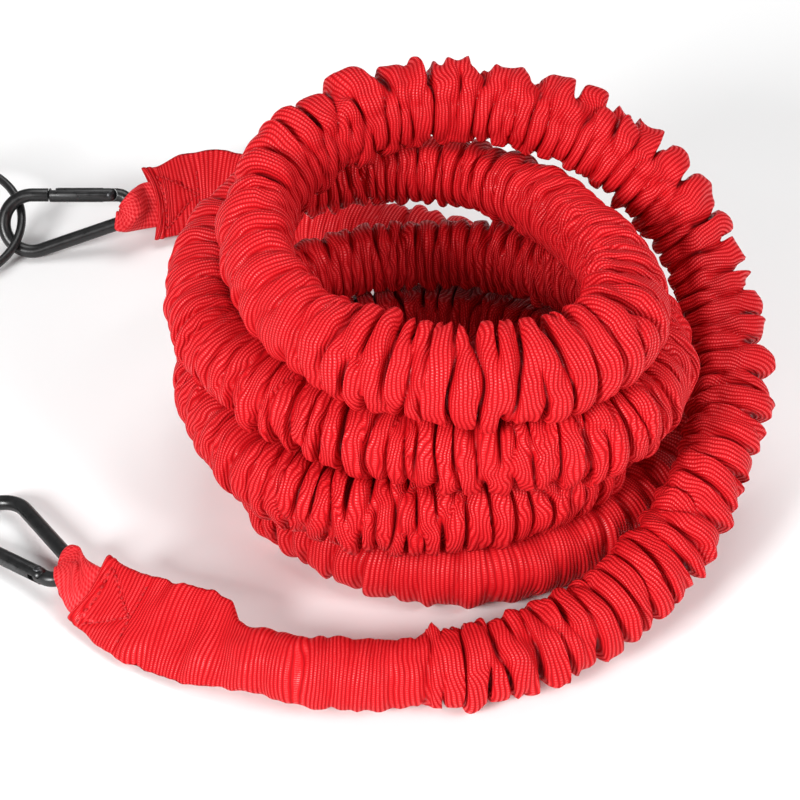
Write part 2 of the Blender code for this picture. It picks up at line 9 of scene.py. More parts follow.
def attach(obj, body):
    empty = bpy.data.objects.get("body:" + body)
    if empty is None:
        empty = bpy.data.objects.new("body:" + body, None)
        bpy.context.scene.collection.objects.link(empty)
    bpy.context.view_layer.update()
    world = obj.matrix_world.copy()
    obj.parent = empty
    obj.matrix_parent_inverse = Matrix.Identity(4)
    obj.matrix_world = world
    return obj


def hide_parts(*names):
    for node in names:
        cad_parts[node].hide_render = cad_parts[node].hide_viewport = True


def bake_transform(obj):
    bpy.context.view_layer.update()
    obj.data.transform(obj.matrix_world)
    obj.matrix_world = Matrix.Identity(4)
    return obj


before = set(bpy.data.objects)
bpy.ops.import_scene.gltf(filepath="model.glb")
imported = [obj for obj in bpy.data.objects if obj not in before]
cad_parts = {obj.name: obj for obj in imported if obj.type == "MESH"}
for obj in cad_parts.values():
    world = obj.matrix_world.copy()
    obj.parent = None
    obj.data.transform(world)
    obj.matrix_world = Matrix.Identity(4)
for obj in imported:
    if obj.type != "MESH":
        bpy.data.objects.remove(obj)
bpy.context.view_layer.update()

MM = 0.001
SHIFT = np.array([61.03, -39.81, 0.0])
scene = bpy.context.scene

# ================================================================ camera
ELEVATION = 40.0
TARGET = Vector((0.06103, -0.03981, 0.060))
back = Vector((0.0, -math.cos(math.radians(ELEVATION)), math.sin(math.radians(ELEVATION))))
camera_data = bpy.data.cameras.new("camera")
camera_data.lens = 112.5
camera_data.sensor_width = 36.0
camera = bpy.data.objects.new("camera", camera_data)
camera.location = TARGET + back * 1.3
camera.rotation_euler = (math.radians(90.0 - ELEVATION), 0.0, 0.0)
camera_data.clip_start, camera_data.clip_end = 0.05, 20.0
scene.collection.objects.link(camera)
scene.camera = camera

# ================================================================ the lay of the cord (mm, before SHIFT)
AXIS_XY = (15.0, 0.0)
LAY = [
    (-127, 173, 19.4), (-115, 166.5, 20.6), (-103, 160.5, 20.6), (-92, 156, 20.6), (-80, 151.5, 20.6), (-68, 148, 20.8),
    (-56, 145, 22.5), (-44, 144, 28), (-33, 145, 35.5), (-22, 147.5, 44.5), (-11, 151, 54.5), (0, 154, 66.5),
    (9, 155.5, 80), (18, 155, 98), (27, 151.5, 119), (36, 142, 141), (47, 131, 157), (60, 119, 168),
    (74, 112, 172.5), (90, 107, 173), (110, 102, 172), (135, 98, 164), (158, 92.5, 155.5), (180, 85, 151),
    (205, 80, 149), (228, 80, 148.5), (246, 82, 148.5), (266, 86.5, 148.5), (284, 93, 148.5), (299, 99.5, 148.5),
    (312, 104, 148.5), (323, 105, 147.5), (335, 103, 145.5), (347, 98.5, 143), (360, 93.5, 140.5), (375, 90, 137.5),
    (391, 90.5, 134.5), (406, 94.5, 131.5), (421, 102.5, 129), (438, 112, 126.5), (455, 119.5, 124), (475, 128, 121),
    (490, 133.5, 117.5), (504, 132.5, 114), (519, 126, 111.5), (534, 116.5, 109.5), (548, 107, 108), (563, 97, 107),
    (581, 87.5, 106.5), (602, 85, 106), (620, 87, 106), (636, 92, 106), (650, 99, 106), (662, 106, 106),
    (673, 112, 106), (685, 117, 105.5), (700, 118.5, 104), (716, 115.5, 101.5), (736, 109, 96.5), (760, 102.5, 90),
    (785, 99, 85), (810, 99, 81.5), (835, 105, 77.5), (855, 113.5, 73.5), (872, 117.5, 69.5), (888, 116, 66.5),
    (904, 111, 65), (918, 106.5, 64), (932, 103, 63.5), (947, 99, 63.5), (963, 94.5, 63.5), (981, 90, 63.5),
    (1000, 89, 63.5), (1013, 90, 63.5), (1026, 91, 63.5), (1040, 91.5, 62.5), (1055, 92, 60), (1072, 93.5, 56.5),
    (1090, 94.5, 52), (1110, 94, 48), (1130, 92, 44.5), (1150, 91.5, 42), (1172, 93.5, 39.5), (1195, 97.5, 36.5),
    (1218, 99, 32), (1240, 94.5, 27), (1262, 86.5, 22.8), (1285, 81.5, 20.6), (1306, 80.5, 20.6), (1324, 82.5, 20.6),
    (1341, 85, 20.6), (1358, 89, 20.6), (1375, 93.5, 20.6), (1392, 98, 20.6), (1411, 106, 20.6), (1431, 118.5, 20.6),
    (1450, 131.5, 20.6), (1468, 142, 20.6), (1487, 152, 20.6), (1504, 163, 20.6), (1518, 175, 20.6), (1530, 189, 20.6),
    (1541, 208, 20.6), (1549, 231, 20.6), (1554, 254, 20.6),
]
LOWER_MOUTH, LOWER_LEAD, LOWER_LEAN = (-156.6, -96.6, 15.6), (-123.5, -121.1, 16.8), 55.0
UPPER_MOUTH, UPPER_LEAD, UPPER_LEAN = (-151.0, 227.5, 21.5), (-117.5, 238.0, 21.0), 40.0


def natural_spline(knots, values, at):
    n = len(knots)
    h = np.diff(knots)
    a = np.zeros((n, n))
    b = np.zeros((n, values.shape[1]))
    a[0, 0] = a[-1, -1] = 1.0
    for i in range(1, n - 1):
        a[i, i - 1], a[i, i], a[i, i + 1] = h[i - 1], 2 * (h[i - 1] + h[i]), h[i]
        b[i] = 6 * ((values[i + 1] - values[i]) / h[i] - (values[i] - values[i - 1]) / h[i - 1])
    m = np.linalg.solve(a, b)
    k = np.clip(np.searchsorted(knots, at) - 1, 0, n - 2)
    t = (at - knots[k])[:, None]
    hk = h[k][:, None]
    slope = (values[k + 1] - values[k]) / hk - hk * (2 * m[k] + m[k + 1]) / 6
    return values[k] + t * slope + m[k] / 2 * t**2 + (m[k + 1] - m[k]) / (6 * hk) * t**3


def route():
    lower, lead = np.array(LOWER_MOUTH), np.array(LOWER_LEAD)
    upper, lead_u = np.array(UPPER_MOUTH), np.array(UPPER_LEAD)
    rows = [lower, (lower + lead) / 2, lead]
    rows += [
        np.array([AXIS_XY[0] + r * math.cos(math.radians(a)), AXIS_XY[1] + r * math.sin(math.radians(a)), z])
        for a, r, z in LAY
    ]
    rows += [lead_u, (upper + lead_u) / 2, upper]
    rows = np.array(rows)
    knots = np.r_[0.0, np.cumsum(np.linalg.norm(np.diff(rows, axis=0), axis=1))]
    line = natural_spline(knots, rows, np.linspace(0.0, knots[-1], 8000))
    k = np.arange(-90, 91)
    weight = np.exp(-0.5 * (k / 30.0) ** 2)
    weight /= weight.sum()
    wide = np.concatenate([2 * line[:1] - line[90:0:-1], line, 2 * line[-1:] - line[-2:-92:-1]])
    line = np.stack([np.convolve(wide[:, i], weight, "valid") for i in range(3)], 1)
    along = np.r_[0.0, np.cumsum(np.linalg.norm(np.diff(line, axis=0), axis=1))]
    low = np.minimum(along, along[-1] - along) > 110.0
    line[:, 2] = np.where(low, np.maximum(line[:, 2], 20.6), line[:, 2])
    turning = np.interp(along, knots, np.r_[[-137.0, -134.0, -131.0], [a for a, _r, _z in LAY], [1562.0, 1565.0, 1568.0]])
    return line, along, turning


LINE, ALONG, TURNING = route()
LENGTH = float(ALONG[-1])


def smoothstep(x):
    x = np.clip(x, 0.0, 1.0)
    return x * x * (3 - 2 * x)


def blurred(values, width):
    """Gaussian blur of a column set along its first axis, width in samples."""
    n = len(values)
    k = np.arange(-int(3 * width), int(3 * width) + 1)
    w = np.exp(-0.5 * (k / width) ** 2)
    w /= w.sum()
    padded = np.concatenate([np.repeat(values[:1], len(k) // 2, 0), values, np.repeat(values[-1:], len(k) // 2, 0)])
    return np.stack([np.convolve(padded[:, i], w, "valid")[:n] for i in range(values.shape[1])], 1)


GRID = np.linspace(0.0, LENGTH, 7168)
MIDDLE = np.stack([np.interp(GRID, ALONG, LINE[:, k]) for k in range(3)], 1)
TANGENT = blurred(np.gradient(MIDDLE, GRID, axis=0), 5.0)
TANGENT /= np.linalg.norm(TANGENT, axis=1)[:, None]
SIDE = np.cross([0.0, 0.0, 1.0], TANGENT)
SIDE /= np.linalg.norm(SIDE, axis=1)[:, None]
UP = np.cross(TANGENT, SIDE)


def along_line(s):
    """Middle, tangent, side and up at the distances s, of any shape. Past an end it runs straight on."""
    inside = np.clip(s, 0.0, LENGTH)
    found = []
    for table in (MIDDLE, TANGENT, SIDE, UP):
        found.append(np.stack([np.interp(inside, GRID, table[:, k]) for k in range(3)], -1))
    found[0] = found[0] + found[1] * (s - inside)[..., None]
    return found


# ================================================================ the gathered sleeve
def complex_noise(count, around, bandwidth, spread, seed, slant=0.0):
    """Complex noise with one cycle per 24 samples along and few cycles around; its phase runs through the folds."""
    rng = np.random.default_rng(seed)
    white = rng.normal(size=(count, around)) + 1j * rng.normal(size=(count, around))
    f = np.fft.fftfreq(count, 1 / 24.0)[:, None]
    k = np.fft.fftfreq(around, 1.0 / around)[None, :]
    keep = np.exp(-0.5 * ((f - 1.0) / bandwidth) ** 2 - 0.5 * ((k - slant) / spread) ** 2) * (f > 0)
    z = np.fft.ifft2(np.fft.fft2(white) * keep)
    return z / np.sqrt((abs(z) ** 2).mean())


def on_rows(z, cycles):
    """Reads the noise at the given number of cycles for each row."""
    x = np.clip(cycles * 24.0, 0, len(z) - 1.001)
    i = x.astype(int)
    t = (x - i)[:, None]
    return z[i] * (1 - t) + z[i + 1] * t


def periodic_noise(count, around, long_wave, spread, seed):
    """Smooth real noise of unit size over rows and round; long_wave in rows."""
    rng = np.random.default_rng(seed)
    white = rng.normal(size=(count, around))
    f = np.fft.fftfreq(count)[:, None]
    k = np.fft.fftfreq(around, 1.0 / around)[None, :]
    keep = np.exp(-0.5 * (f * long_wave) ** 2 - 0.5 * (k / spread) ** 2)
    z = np.fft.ifft2(np.fft.fft2(white) * keep).real
    return z / z.std()


def table_at(s, points):
    """Smooth reading of a short table of (distance, value)."""
    xs = np.array([p[0] for p in points], float)
    ys = np.array([p[1] for p in points], float)
    i = np.clip(np.searchsorted(xs, s) - 1, 0, len(xs) - 2)
    t = smoothstep((s - xs[i]) / (xs[i + 1] - xs[i]))
    return ys[i] * (1 - t) + ys[i + 1] * t


AROUND = 80
STEP = 0.66
# lean of the crease of the flattened webbing, from level, by turning angle
CREASE_LEAN = [(-140, 35), (-60, 22), (-20, 6), (20, -8), (60, -32), (95, -52), (130, -70), (180, -95), (230, -115), (280, -130),
               (350, -140), (430, -155), (560, -140), (700, -125), (900, -120), (1100, -105), (1300, -85), (1450, -65), (1568, -50)]
HEM_DEPTH = 20.0

# half widths of the sewn ends to their two creases, by distance from the mouth
LOWER_TOP = [(0, 21.0), (12, 20.0), (35, 22.5), (55, 25.5), (67, 26.0), (79, 24.5), (87, 15.5), (93, 13.2), (102, 15.0), (118, 15.5), (150, 18.0), (178, 17.5), (190, 23.0)]
LOWER_BOTTOM = [(0, 16.5), (9, 18.5), (22, 22.0), (35, 22.5), (70, 22.5), (92, 20.0), (104, 18.5), (118, 22.0), (150, 23.5), (176, 20.5), (190, 22.0)]
UPPER_TOP = [(0, 22.5), (8, 22.0), (25, 27.0), (50, 30.0), (80, 28.0), (120, 23.0)]
UPPER_BOTTOM = [(0, 21.0), (40, 20.0), (80, 21.5), (120, 22.0)]
# how strongly the cloth is gathered, by turning angle
GATHER = [(-200, 1.0), (150, 1.0), (180, 0.66), (225, 0.72), (250, 1.0), (495, 0.9), (525, 0.60), (555, 0.68), (590, 1.0), (880, 0.9),
          (905, 0.62), (935, 0.75), (960, 1.0), (1285, 1.0), (1322, 0.50), (1348, 0.22), (1392, 0.25), (1418, 0.6), (1440, 0.85), (1520, 0.6), (1570, 0.35)]


def sleeve_rows():
    body = np.arange(0.0, LENGTH, STEP)
    dense = np.arange(0.0, 10.0, 0.35)
    return np.unique(np.round(np.concatenate([body, dense, LENGTH - dense, [LENGTH]]), 3))


def sleeve_shape():
    s = sleeve_rows()
    n = len(s)
    v = np.arange(AROUND) * 2 * math.pi / AROUND
    from_end = np.minimum(s, LENGTH - s)
    lower = s < LENGTH / 2
    turning = np.interp(s, ALONG, TURNING)

    # Angle between the crease and the level direction across the cord.
    beta = np.radians(table_at(turning, CREASE_LEAN))
    beta = np.where(s < 300, np.radians(90 - LOWER_LEAN) + (beta - np.radians(90 - LOWER_LEAN)) * smoothstep((s - 40) / 220), beta)
    theta = v[None, :] + beta[:, None]
    inward = 0.5 + 0.5 * np.cos(theta)  # 1 towards the middle of the stack, 0 outwards

    # How far the cloth is gathered, and the folds' wavelength, along the cord.
    gather = np.where(lower, 0.10 + 0.90 * smoothstep((s - 172) / 20.0), 0.15 + 0.85 * smoothstep((LENGTH - s - 60) / 90.0))
    gather *= np.where(from_end < 36, smoothstep((from_end - 4) / 32), 1.0)
    slow = periodic_noise(n, 8, 260.0, 0.8, 11)[:, 0]
    gather = gather * table_at(turning, GATHER) * (1.0 + 0.10 * np.clip(slow, -1.6, 1.6))
    wave_out = table_at(turning, [(-140, 21), (-110, 17), (-80, 12.0), (-50, 12.5), (-20, 14.5), (30, 15.5), (60, 16), (110, 17), (170, 17.5), (220, 15.5),
                                  (260, 12.5), (320, 12.0), (420, 12.5), (500, 13), (560, 11.5), (620, 9.5), (700, 9.0), (900, 11.0), (1000, 9.2), (1080, 9.2),
                                  (1250, 12.5), (1330, 18), (1450, 17), (1600, 18)])
    wave_in = 0.58 * wave_out
    cycles_out = np.cumsum(np.gradient(s) / wave_out)
    cycles_in = np.cumsum(np.gradient(s) / wave_in)

    z1 = on_rows(complex_noise(int(cycles_out[-1] * 24) + 48, AROUND, 0.34, 1.7, 3), cycles_out)
    z2 = on_rows(complex_noise(int(cycles_in[-1] * 24) + 48, AROUND, 0.24, 1.7, 5), cycles_in)
    z3 = on_rows(complex_noise(int(cycles_in[-1] * 24) + 48, AROUND, 0.45, 4.5, 8, 2.5), cycles_in)

    to_in = smoothstep((inward - 0.62) / 0.30)
    share_out, share_in = np.sqrt(1 - to_in), np.sqrt(to_in)

    def fold(z):
        a = abs(z)
        a = 1.35 * a / np.sqrt(a * a + 0.55)
        return np.clip(a, 0, 1.15), np.angle(z)

    a1, f1 = fold(z1)
    a2, f2 = fold(z2)
    a3, f3 = fold(z3)
    ridge = lambda f: ((1 + np.cos(f)) / 2 + 0.003) ** 0.40
    g = gather[:, None]
    size = table_at(turning, [(-140, 0.9), (-60, 0.95), (60, 1.0), (170, 1.07), (300, 1.08), (400, 1.0), (1075, 1.0), (1120, 1.15), (1250, 1.12), (1295, 1.0), (1600, 1.0)])[:, None]

    uneven = periodic_noise(n, AROUND, 15.0, 1.6, 31)
    depth_out, depth_in = 6.3 * size * (1 + 0.20 * np.clip(uneven, -2, 2)), 3.8
    rise = share_out * depth_out * (a1 * ridge(f1) + (1 - a1) * 0.62) + share_in * depth_in * (a2 * ridge(f2) + (1 - a2) * 0.62)
    rise += 0.20 * a3 * np.cos(f3)
    lean = 0.35 * periodic_noise(n, AROUND, 30.0, 1.2, 37)
    shift = wave_out[:, None] / (2 * math.pi) * share_out * a1 * (0.70 * np.sin(f1) + 0.30 * a1 * np.sin(2 * f1) + lean * np.cos(f1))
    shift += wave_in[:, None] / (2 * math.pi) * share_in * a2 * (0.60 * np.sin(f2) + 0.2 * a2 * np.sin(2 * f2))

    # The crease of the flattened webbing stands out as tabs on the outside of the loops.
    outer = table_at(turning, [(-140, 0.0), (-95, 0.35), (-60, 0.9), (-30, 1.0), (60, 1.0), (72, 0.75), (100, 0.8), (132, 0.7), (170, 0.5), (230, 0.6),
                               (260, 1.0), (335, 0.9), (370, 0.5), (450, 0.4), (1600, 0.4)])
    inner = table_at(turning, [(-140, 0.1), (-60, 0.4), (100, 0.3), (1600, 0.3)])
    tabs = np.zeros((n, AROUND))
    for middle, strength, seed in ((math.pi, outer, 41), (0.0, inner, 43)):
        away = np.abs((v[None, :] - middle + math.pi) % (2 * math.pi) - math.pi)
        near = np.clip(1 - away / math.radians(52), 0, 1) ** 1.4
        column = int(round(middle / (2 * math.pi) * AROUND)) % AROUND
        local = np.cos(f1[:, [column]])
        tab = smoothstep((local + 0.45) / 0.75)
        varied = 1 + 0.35 * np.clip(periodic_noise(n, 8, 14.0, 0.5, seed)[:, [0]], -2, 2)
        tabs += strength[:, None] * near * (tab * 5.6 * varied - 2.2)
    base = 14.3 * size + 0.9 * np.cos(2 * v)[None, :]
    radius = base + g * (rise + tabs) + (1 - g) * 3.6
    pucker = periodic_noise(n, AROUND, 17.0, 1.8, 83)
    radius = radius + 0.95 * (1 - g) * pucker
    radius = np.where(radius > 26.0, 26.0 + (radius - 26.0) * 0.45, radius)
    shift = shift * g
    # Height of the cloth over its blurred mean, kept as the attribute hollow: the webbing material paints shade into
    # the low folds and highlight onto the high ones from it.
    mean_radius = blurred(radius, 9.0)
    hollow = (radius - mean_radius) / 3.0
    # Pleats that lie over each other turn their ribs to and fro.
    braid = table_at(turning, [(-200, 0.1), (260, 0.35), (480, 0.5), (600, 1.0), (1250, 1.0), (1320, 0.1), (1600, 0.1)])[:, None]
    braid = braid * g * np.sin(f1) * np.sin(5 * v[None, :] + 2.0 * periodic_noise(n, AROUND, 40.0, 1.5, 61))

    # Sections: round, or flat near the mouths.
    f = smoothstep(np.where(lower, (s - 40) / 150.0, (LENGTH - s - 30) / 90.0))[:, None]
    bunch = smoothstep(np.where(lower, (s - 60) / 60.0, (LENGTH - s - 40) / 50.0))[:, None]
    half = np.where(v < math.pi, 1 - 2 * v / math.pi, 2 * v / math.pi - 3)[None, :]  # 1 at one crease, -1 at the other
    lower_w = np.where(half > 0, table_at(s, LOWER_TOP)[:, None], table_at(s, LOWER_BOTTOM)[:, None])
    upper_w = np.where(half > 0, table_at(LENGTH - s, UPPER_BOTTOM)[:, None], table_at(LENGTH - s, UPPER_TOP)[:, None])
    wide = np.where(lower[:, None], lower_w, upper_w)
    thick = 3.4 + 6.5 * bunch
    flat_w = wide * half
    flat_n = thick * np.sign(np.sin(v))[None, :] * np.sqrt(np.clip(1 - np.abs(half) ** 3.2, 0, 1))
    # Soft waves in the hardly gathered stretches.
    soft = periodic_noise(n, AROUND, 34.0, 2.6, 21)
    calm = (1 - g) * smoothstep((from_end[:, None] - 14) / 26)
    swell = periodic_noise(n, AROUND, 24.0, 1.3, 77)
    flat_n = flat_n * (1 + 0.20 * calm * np.clip(soft, -2, 2)) + 0.85 * calm * swell * np.sign(np.sin(v))[None, :]
    flat_w = flat_w * (1 + 0.030 * calm * periodic_noise(n, 8, 20.0, 0.4, 79)[:, [0]])
    round_w = radius * np.cos(v)[None, :]
    round_n = radius * np.sin(v)[None, :]
    scale_w = np.where(half > 0, table_at(s, LOWER_TOP)[:, None] / 21.0, table_at(s, LOWER_BOTTOM)[:, None] / 21.0)
    scale_w = np.where(lower[:, None] & (s[:, None] < 190), scale_w, 1.0)
    w = f * round_w * scale_w + (1 - f) * flat_w
    m = f * round_n + (1 - f) * flat_n

    # Rolled hem at each mouth, then the panel is drawn in along its stitched lines.
    roll = np.where(from_end < 6.4, np.abs(np.sin(math.pi * from_end / 3.2)) ** 0.7 * 1.15, 0.0)[:, None]
    m = m + np.sign(np.sin(v))[None, :] * roll * smoothstep((1 - np.abs(half)) / 0.12)
    w = w * (1 + 0.02 * roll)
    # The mouths are drawn in at their middle.
    dip = 1 - half**2
    near_mouth = np.exp(-((from_end / 13.0) ** 2))[:, None]
    mouth_shift = np.where(lower[:, None], 2.8 * dip - 3.0 * np.clip(-half, 0, 1), -4.6 * dip)
    shift = shift + near_mouth * mouth_shift
    return s, v, beta, w, m, shift, gather, f, hollow, braid


def stitch_pull(s, half, width, distance):
    """How hard the stitching pulls the panel in, over rows and round. Box with a diagonal."""
    at = distance[:, None]
    across = half[None, :] * width
    pull = np.zeros((len(s), len(half)))
    h = 17.0
    lines = [((5.6, -h), (5.6, h)), ((30.5, -h), (30.5, h)), ((7.0, 16.0), (30.0, -2.0)), ((30.0, -2.0), (8.0, -16.0))]
    for (x0, y0), (x1, y1) in lines:
        dx, dy = x1 - x0, y1 - y0
        t = np.clip(((at - x0) * dx + (across - y0) * dy) / (dx * dx + dy * dy), 0, 1)
        far = np.hypot(at - x0 - t * dx, across - y0 - t * dy)
        pull = np.maximum(pull, np.exp(-((far / 1.5) ** 2)))
    return pull


def sleeve_mesh():
    s, v, beta, w, m, shift, gather, f, hollow, braid = sleeve_shape()
    n = len(s)
    half = np.where(v < math.pi, 1 - 2 * v / math.pi, 2 * v / math.pi - 3)
    for distance in (s, LENGTH - s):
        near = (distance < 45)[:, None]
        pull = np.where(near, stitch_pull(s, half, 20.0, distance), 0.0)
        m = m * (1 - 0.34 * pull)

    rows_s = s[:, None] + shift
    p, t, side, up = along_line(rows_s)
    c, d = np.cos(beta)[:, None, None], np.sin(beta)[:, None, None]
    e_w = side * c + up * d
    e_n = up * c - side * d
    points = p + e_w * w[..., None] + e_n * m[..., None]

    # Where two turns press on each other both are cut back to the plane between them.
    centre_s = np.arange(0.0, LENGTH, 5.0)
    centres = along_line(centre_s)[0]
    for _ in range(3):
        own = along_line(rows_s)[0]
        for i0 in range(0, n, 64):
            block = points[i0:i0 + 64].reshape(-1, 3)
            here = own[i0:i0 + 64].reshape(-1, 3)
            mid = float(s[min(i0 + 32, n - 1)])
            others = centres[np.abs(centre_s - mid) > 95.0]
            gap = np.linalg.norm(block - here, axis=1)
            sq = (block**2).sum(1)[:, None] + (others**2).sum(1)[None] - 2 * block @ others.T
            j = sq.argmin(1)
            to = others[j] - here
            dist = np.linalg.norm(to, axis=1)
            unit = to / dist[:, None]
            reach = ((block - here) * unit).sum(1)
            limit = dist / 2 - 0.25
            over = np.clip(reach - limit, 0, None)
            close = dist < 70
            block = block - unit * (over * close)[:, None]
            points[i0:i0 + 64] = block.reshape(-1, AROUND, 3)
    points[..., 2] = np.maximum(points[..., 2], 0.25)

    # Mouths: the cloth turns in and runs a short way inside.
    def inner(row_points, row_mid, count, first):
        rings = []
        direction = along_line(np.array([0.0 if first else LENGTH]))[1][0] * (1 if first else -1)
        for k in range(1, count + 1):
            q = k / count
            shrink = 1 - 0.20 * min(1.0, q * 2.2)
            ring = row_mid + (row_points - row_mid) * shrink + direction * (HEM_DEPTH * q * q)
            rings.append(ring)
        return rings

    first_mid = along_line(np.array([0.0]))[0][0]
    last_mid = along_line(np.array([LENGTH]))[0][0]
    front = inner(points[0], first_mid, 6, True)[::-1]
    rear = inner(points[-1], last_mid, 6, False)
    rows = np.concatenate([np.array(front), points, np.array(rear)])

    # Cloth coordinates: distance along the cloth, evened out between neighbours, and round it.
    step = np.linalg.norm(np.diff(rows, axis=0), axis=2)
    step = np.r_[np.zeros((1, AROUND)), step]
    mean = step.mean(1)
    own_way = np.cumsum(step - mean[:, None], axis=0)
    own_way -= blurred(own_way, 26.0)
    cloth = np.cumsum(mean)[:, None] + own_way
    cloth[6:-6] += 1.7 * braid + 1.4 * (1 - gather[:, None]) * periodic_noise(n, AROUND, 46.0, 1.1, 91)
    hollow = np.concatenate([np.repeat(hollow[:1], 6, 0), hollow, np.repeat(hollow[-1:], 6, 0)])
    return rows, cloth, hollow


def mesh_from_rows(name, rows, close_ends=True):
    count, around = rows.shape[:2]
    i = np.arange(count - 1)[:, None]
    k = np.arange(around)[None, :]
    k1 = (k + 1) % around
    quads = np.stack([i * around + k, i * around + k1, (i + 1) * around + k1, (i + 1) * around + k], -1).reshape(-1, 4)
    points = rows.reshape(-1, 3)
    mesh = bpy.data.meshes.new(name)
    caps = []
    if close_ends:
        caps = [list(range(around))[::-1], list(range((count - 1) * around, count * around))]
    mesh.vertices.add(len(points))
    mesh.vertices.foreach_set("co", ((points + SHIFT) * MM).astype(np.float32).ravel())
    loops = np.concatenate([quads.ravel()] + [np.array(c) for c in caps]) if caps else quads.ravel()
    mesh.loops.add(len(loops))
    mesh.loops.foreach_set("vertex_index", loops.astype(np.int32))
    starts = list(range(0, len(quads) * 4, 4))
    for c in caps:
        starts.append(starts[-1] + (4 if len(starts) == len(quads) else around))
    mesh.polygons.add(len(starts))
    mesh.polygons.foreach_set("loop_start", np.array(starts, np.int32))
    mesh.update(calc_edges=True)
    mesh.validate()
    return mesh, quads


def add_cloth_map(mesh, quads, cloth, girth):
    """UV map named cloth: metres along the cloth and metres round it."""
    count, around = cloth.shape
    flat = cloth.ravel() * MM
    u = flat[quads]
    k = quads % around
    turn = (k[:, :1] == around - 1) & (k == 0)
    v = (k + turn * around) / around * girth * MM
    layer = mesh.uv_layers.new(name="cloth")
    values = np.zeros((len(mesh.loops), 2), np.float32)
    values[: quads.size, 0] = u.ravel()
    values[: quads.size, 1] = v.ravel()
    layer.data.foreach_set("uv", values.ravel())


def placed(name, mesh, mat, body, smooth=True):
    obj = bpy.data.objects.new(name, mesh)
    mesh.materials.clear()
    mesh.materials.append(mat)
    if smooth:
        mesh.shade_smooth()
    scene.collection.objects.link(obj)
    if body:
        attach(obj, body)
    return obj


# ================================================================ materials
class Tree:
    """Short names for building node materials."""

    def __init__(self, name):
        self.mat = bpy.data.materials.new(name)
        self.mat.use_nodes = True
        self.nt = self.mat.node_tree
        self.shader = self.nt.nodes["Principled BSDF"]

    def node(self, kind, **props):
        made = self.nt.nodes.new(kind)
        for key, value in props.items():
            setattr(made, key, value)
        return made

    def link(self, a, b):
        self.nt.links.new(a, b)

    def math(self, op, a, b=None, c=None):
        made = self.node("ShaderNodeMath", operation=op)
        for socket, value in zip(made.inputs, (a, b, c)):
            if value is None:
                continue
            if isinstance(value, (int, float)):
                socket.default_value = value
            else:
                self.link(value, socket)
        return made.outputs[0]

    def mix(self, t, a, b):
        made = self.node("ShaderNodeMix", data_type="RGBA")
        for socket, value in ((made.inputs[0], t), (made.inputs[6], a), (made.inputs[7], b)):
            if isinstance(value, (int, float)):
                socket.default_value = value
            elif isinstance(value, tuple):
                socket.default_value = (*value, 1.0)
            else:
                self.link(value, socket)
        return made.outputs[2]

    def noise(self, vector, scale, detail=2.0, rough=0.5):
        made = self.node("ShaderNodeTexNoise")
        made.inputs["Scale"].default_value = scale
        made.inputs["Detail"].default_value = detail
        made.inputs["Roughness"].default_value = rough
        if vector is not None:
            self.link(vector, made.inputs["Vector"])
        return made.outputs["Fac"]

    def ramp(self, value, low, high, to_low=0.0, to_high=1.0):
        made = self.node("ShaderNodeMapRange", interpolation_type="SMOOTHSTEP")
        self.link(value, made.inputs[0])
        for i, x in enumerate((low, high, to_low, to_high)):
            made.inputs[i + 1].default_value = x
        return made.outputs[0]

    def bump(self, height, distance, strength=1.0, normal=None):
        made = self.node("ShaderNodeBump")
        made.inputs["Strength"].default_value = strength
        made.inputs["Distance"].default_value = distance
        self.link(height, made.inputs["Height"])
        if normal is not None:
            self.link(normal, made.inputs["Normal"])
        return made.outputs["Normal"]


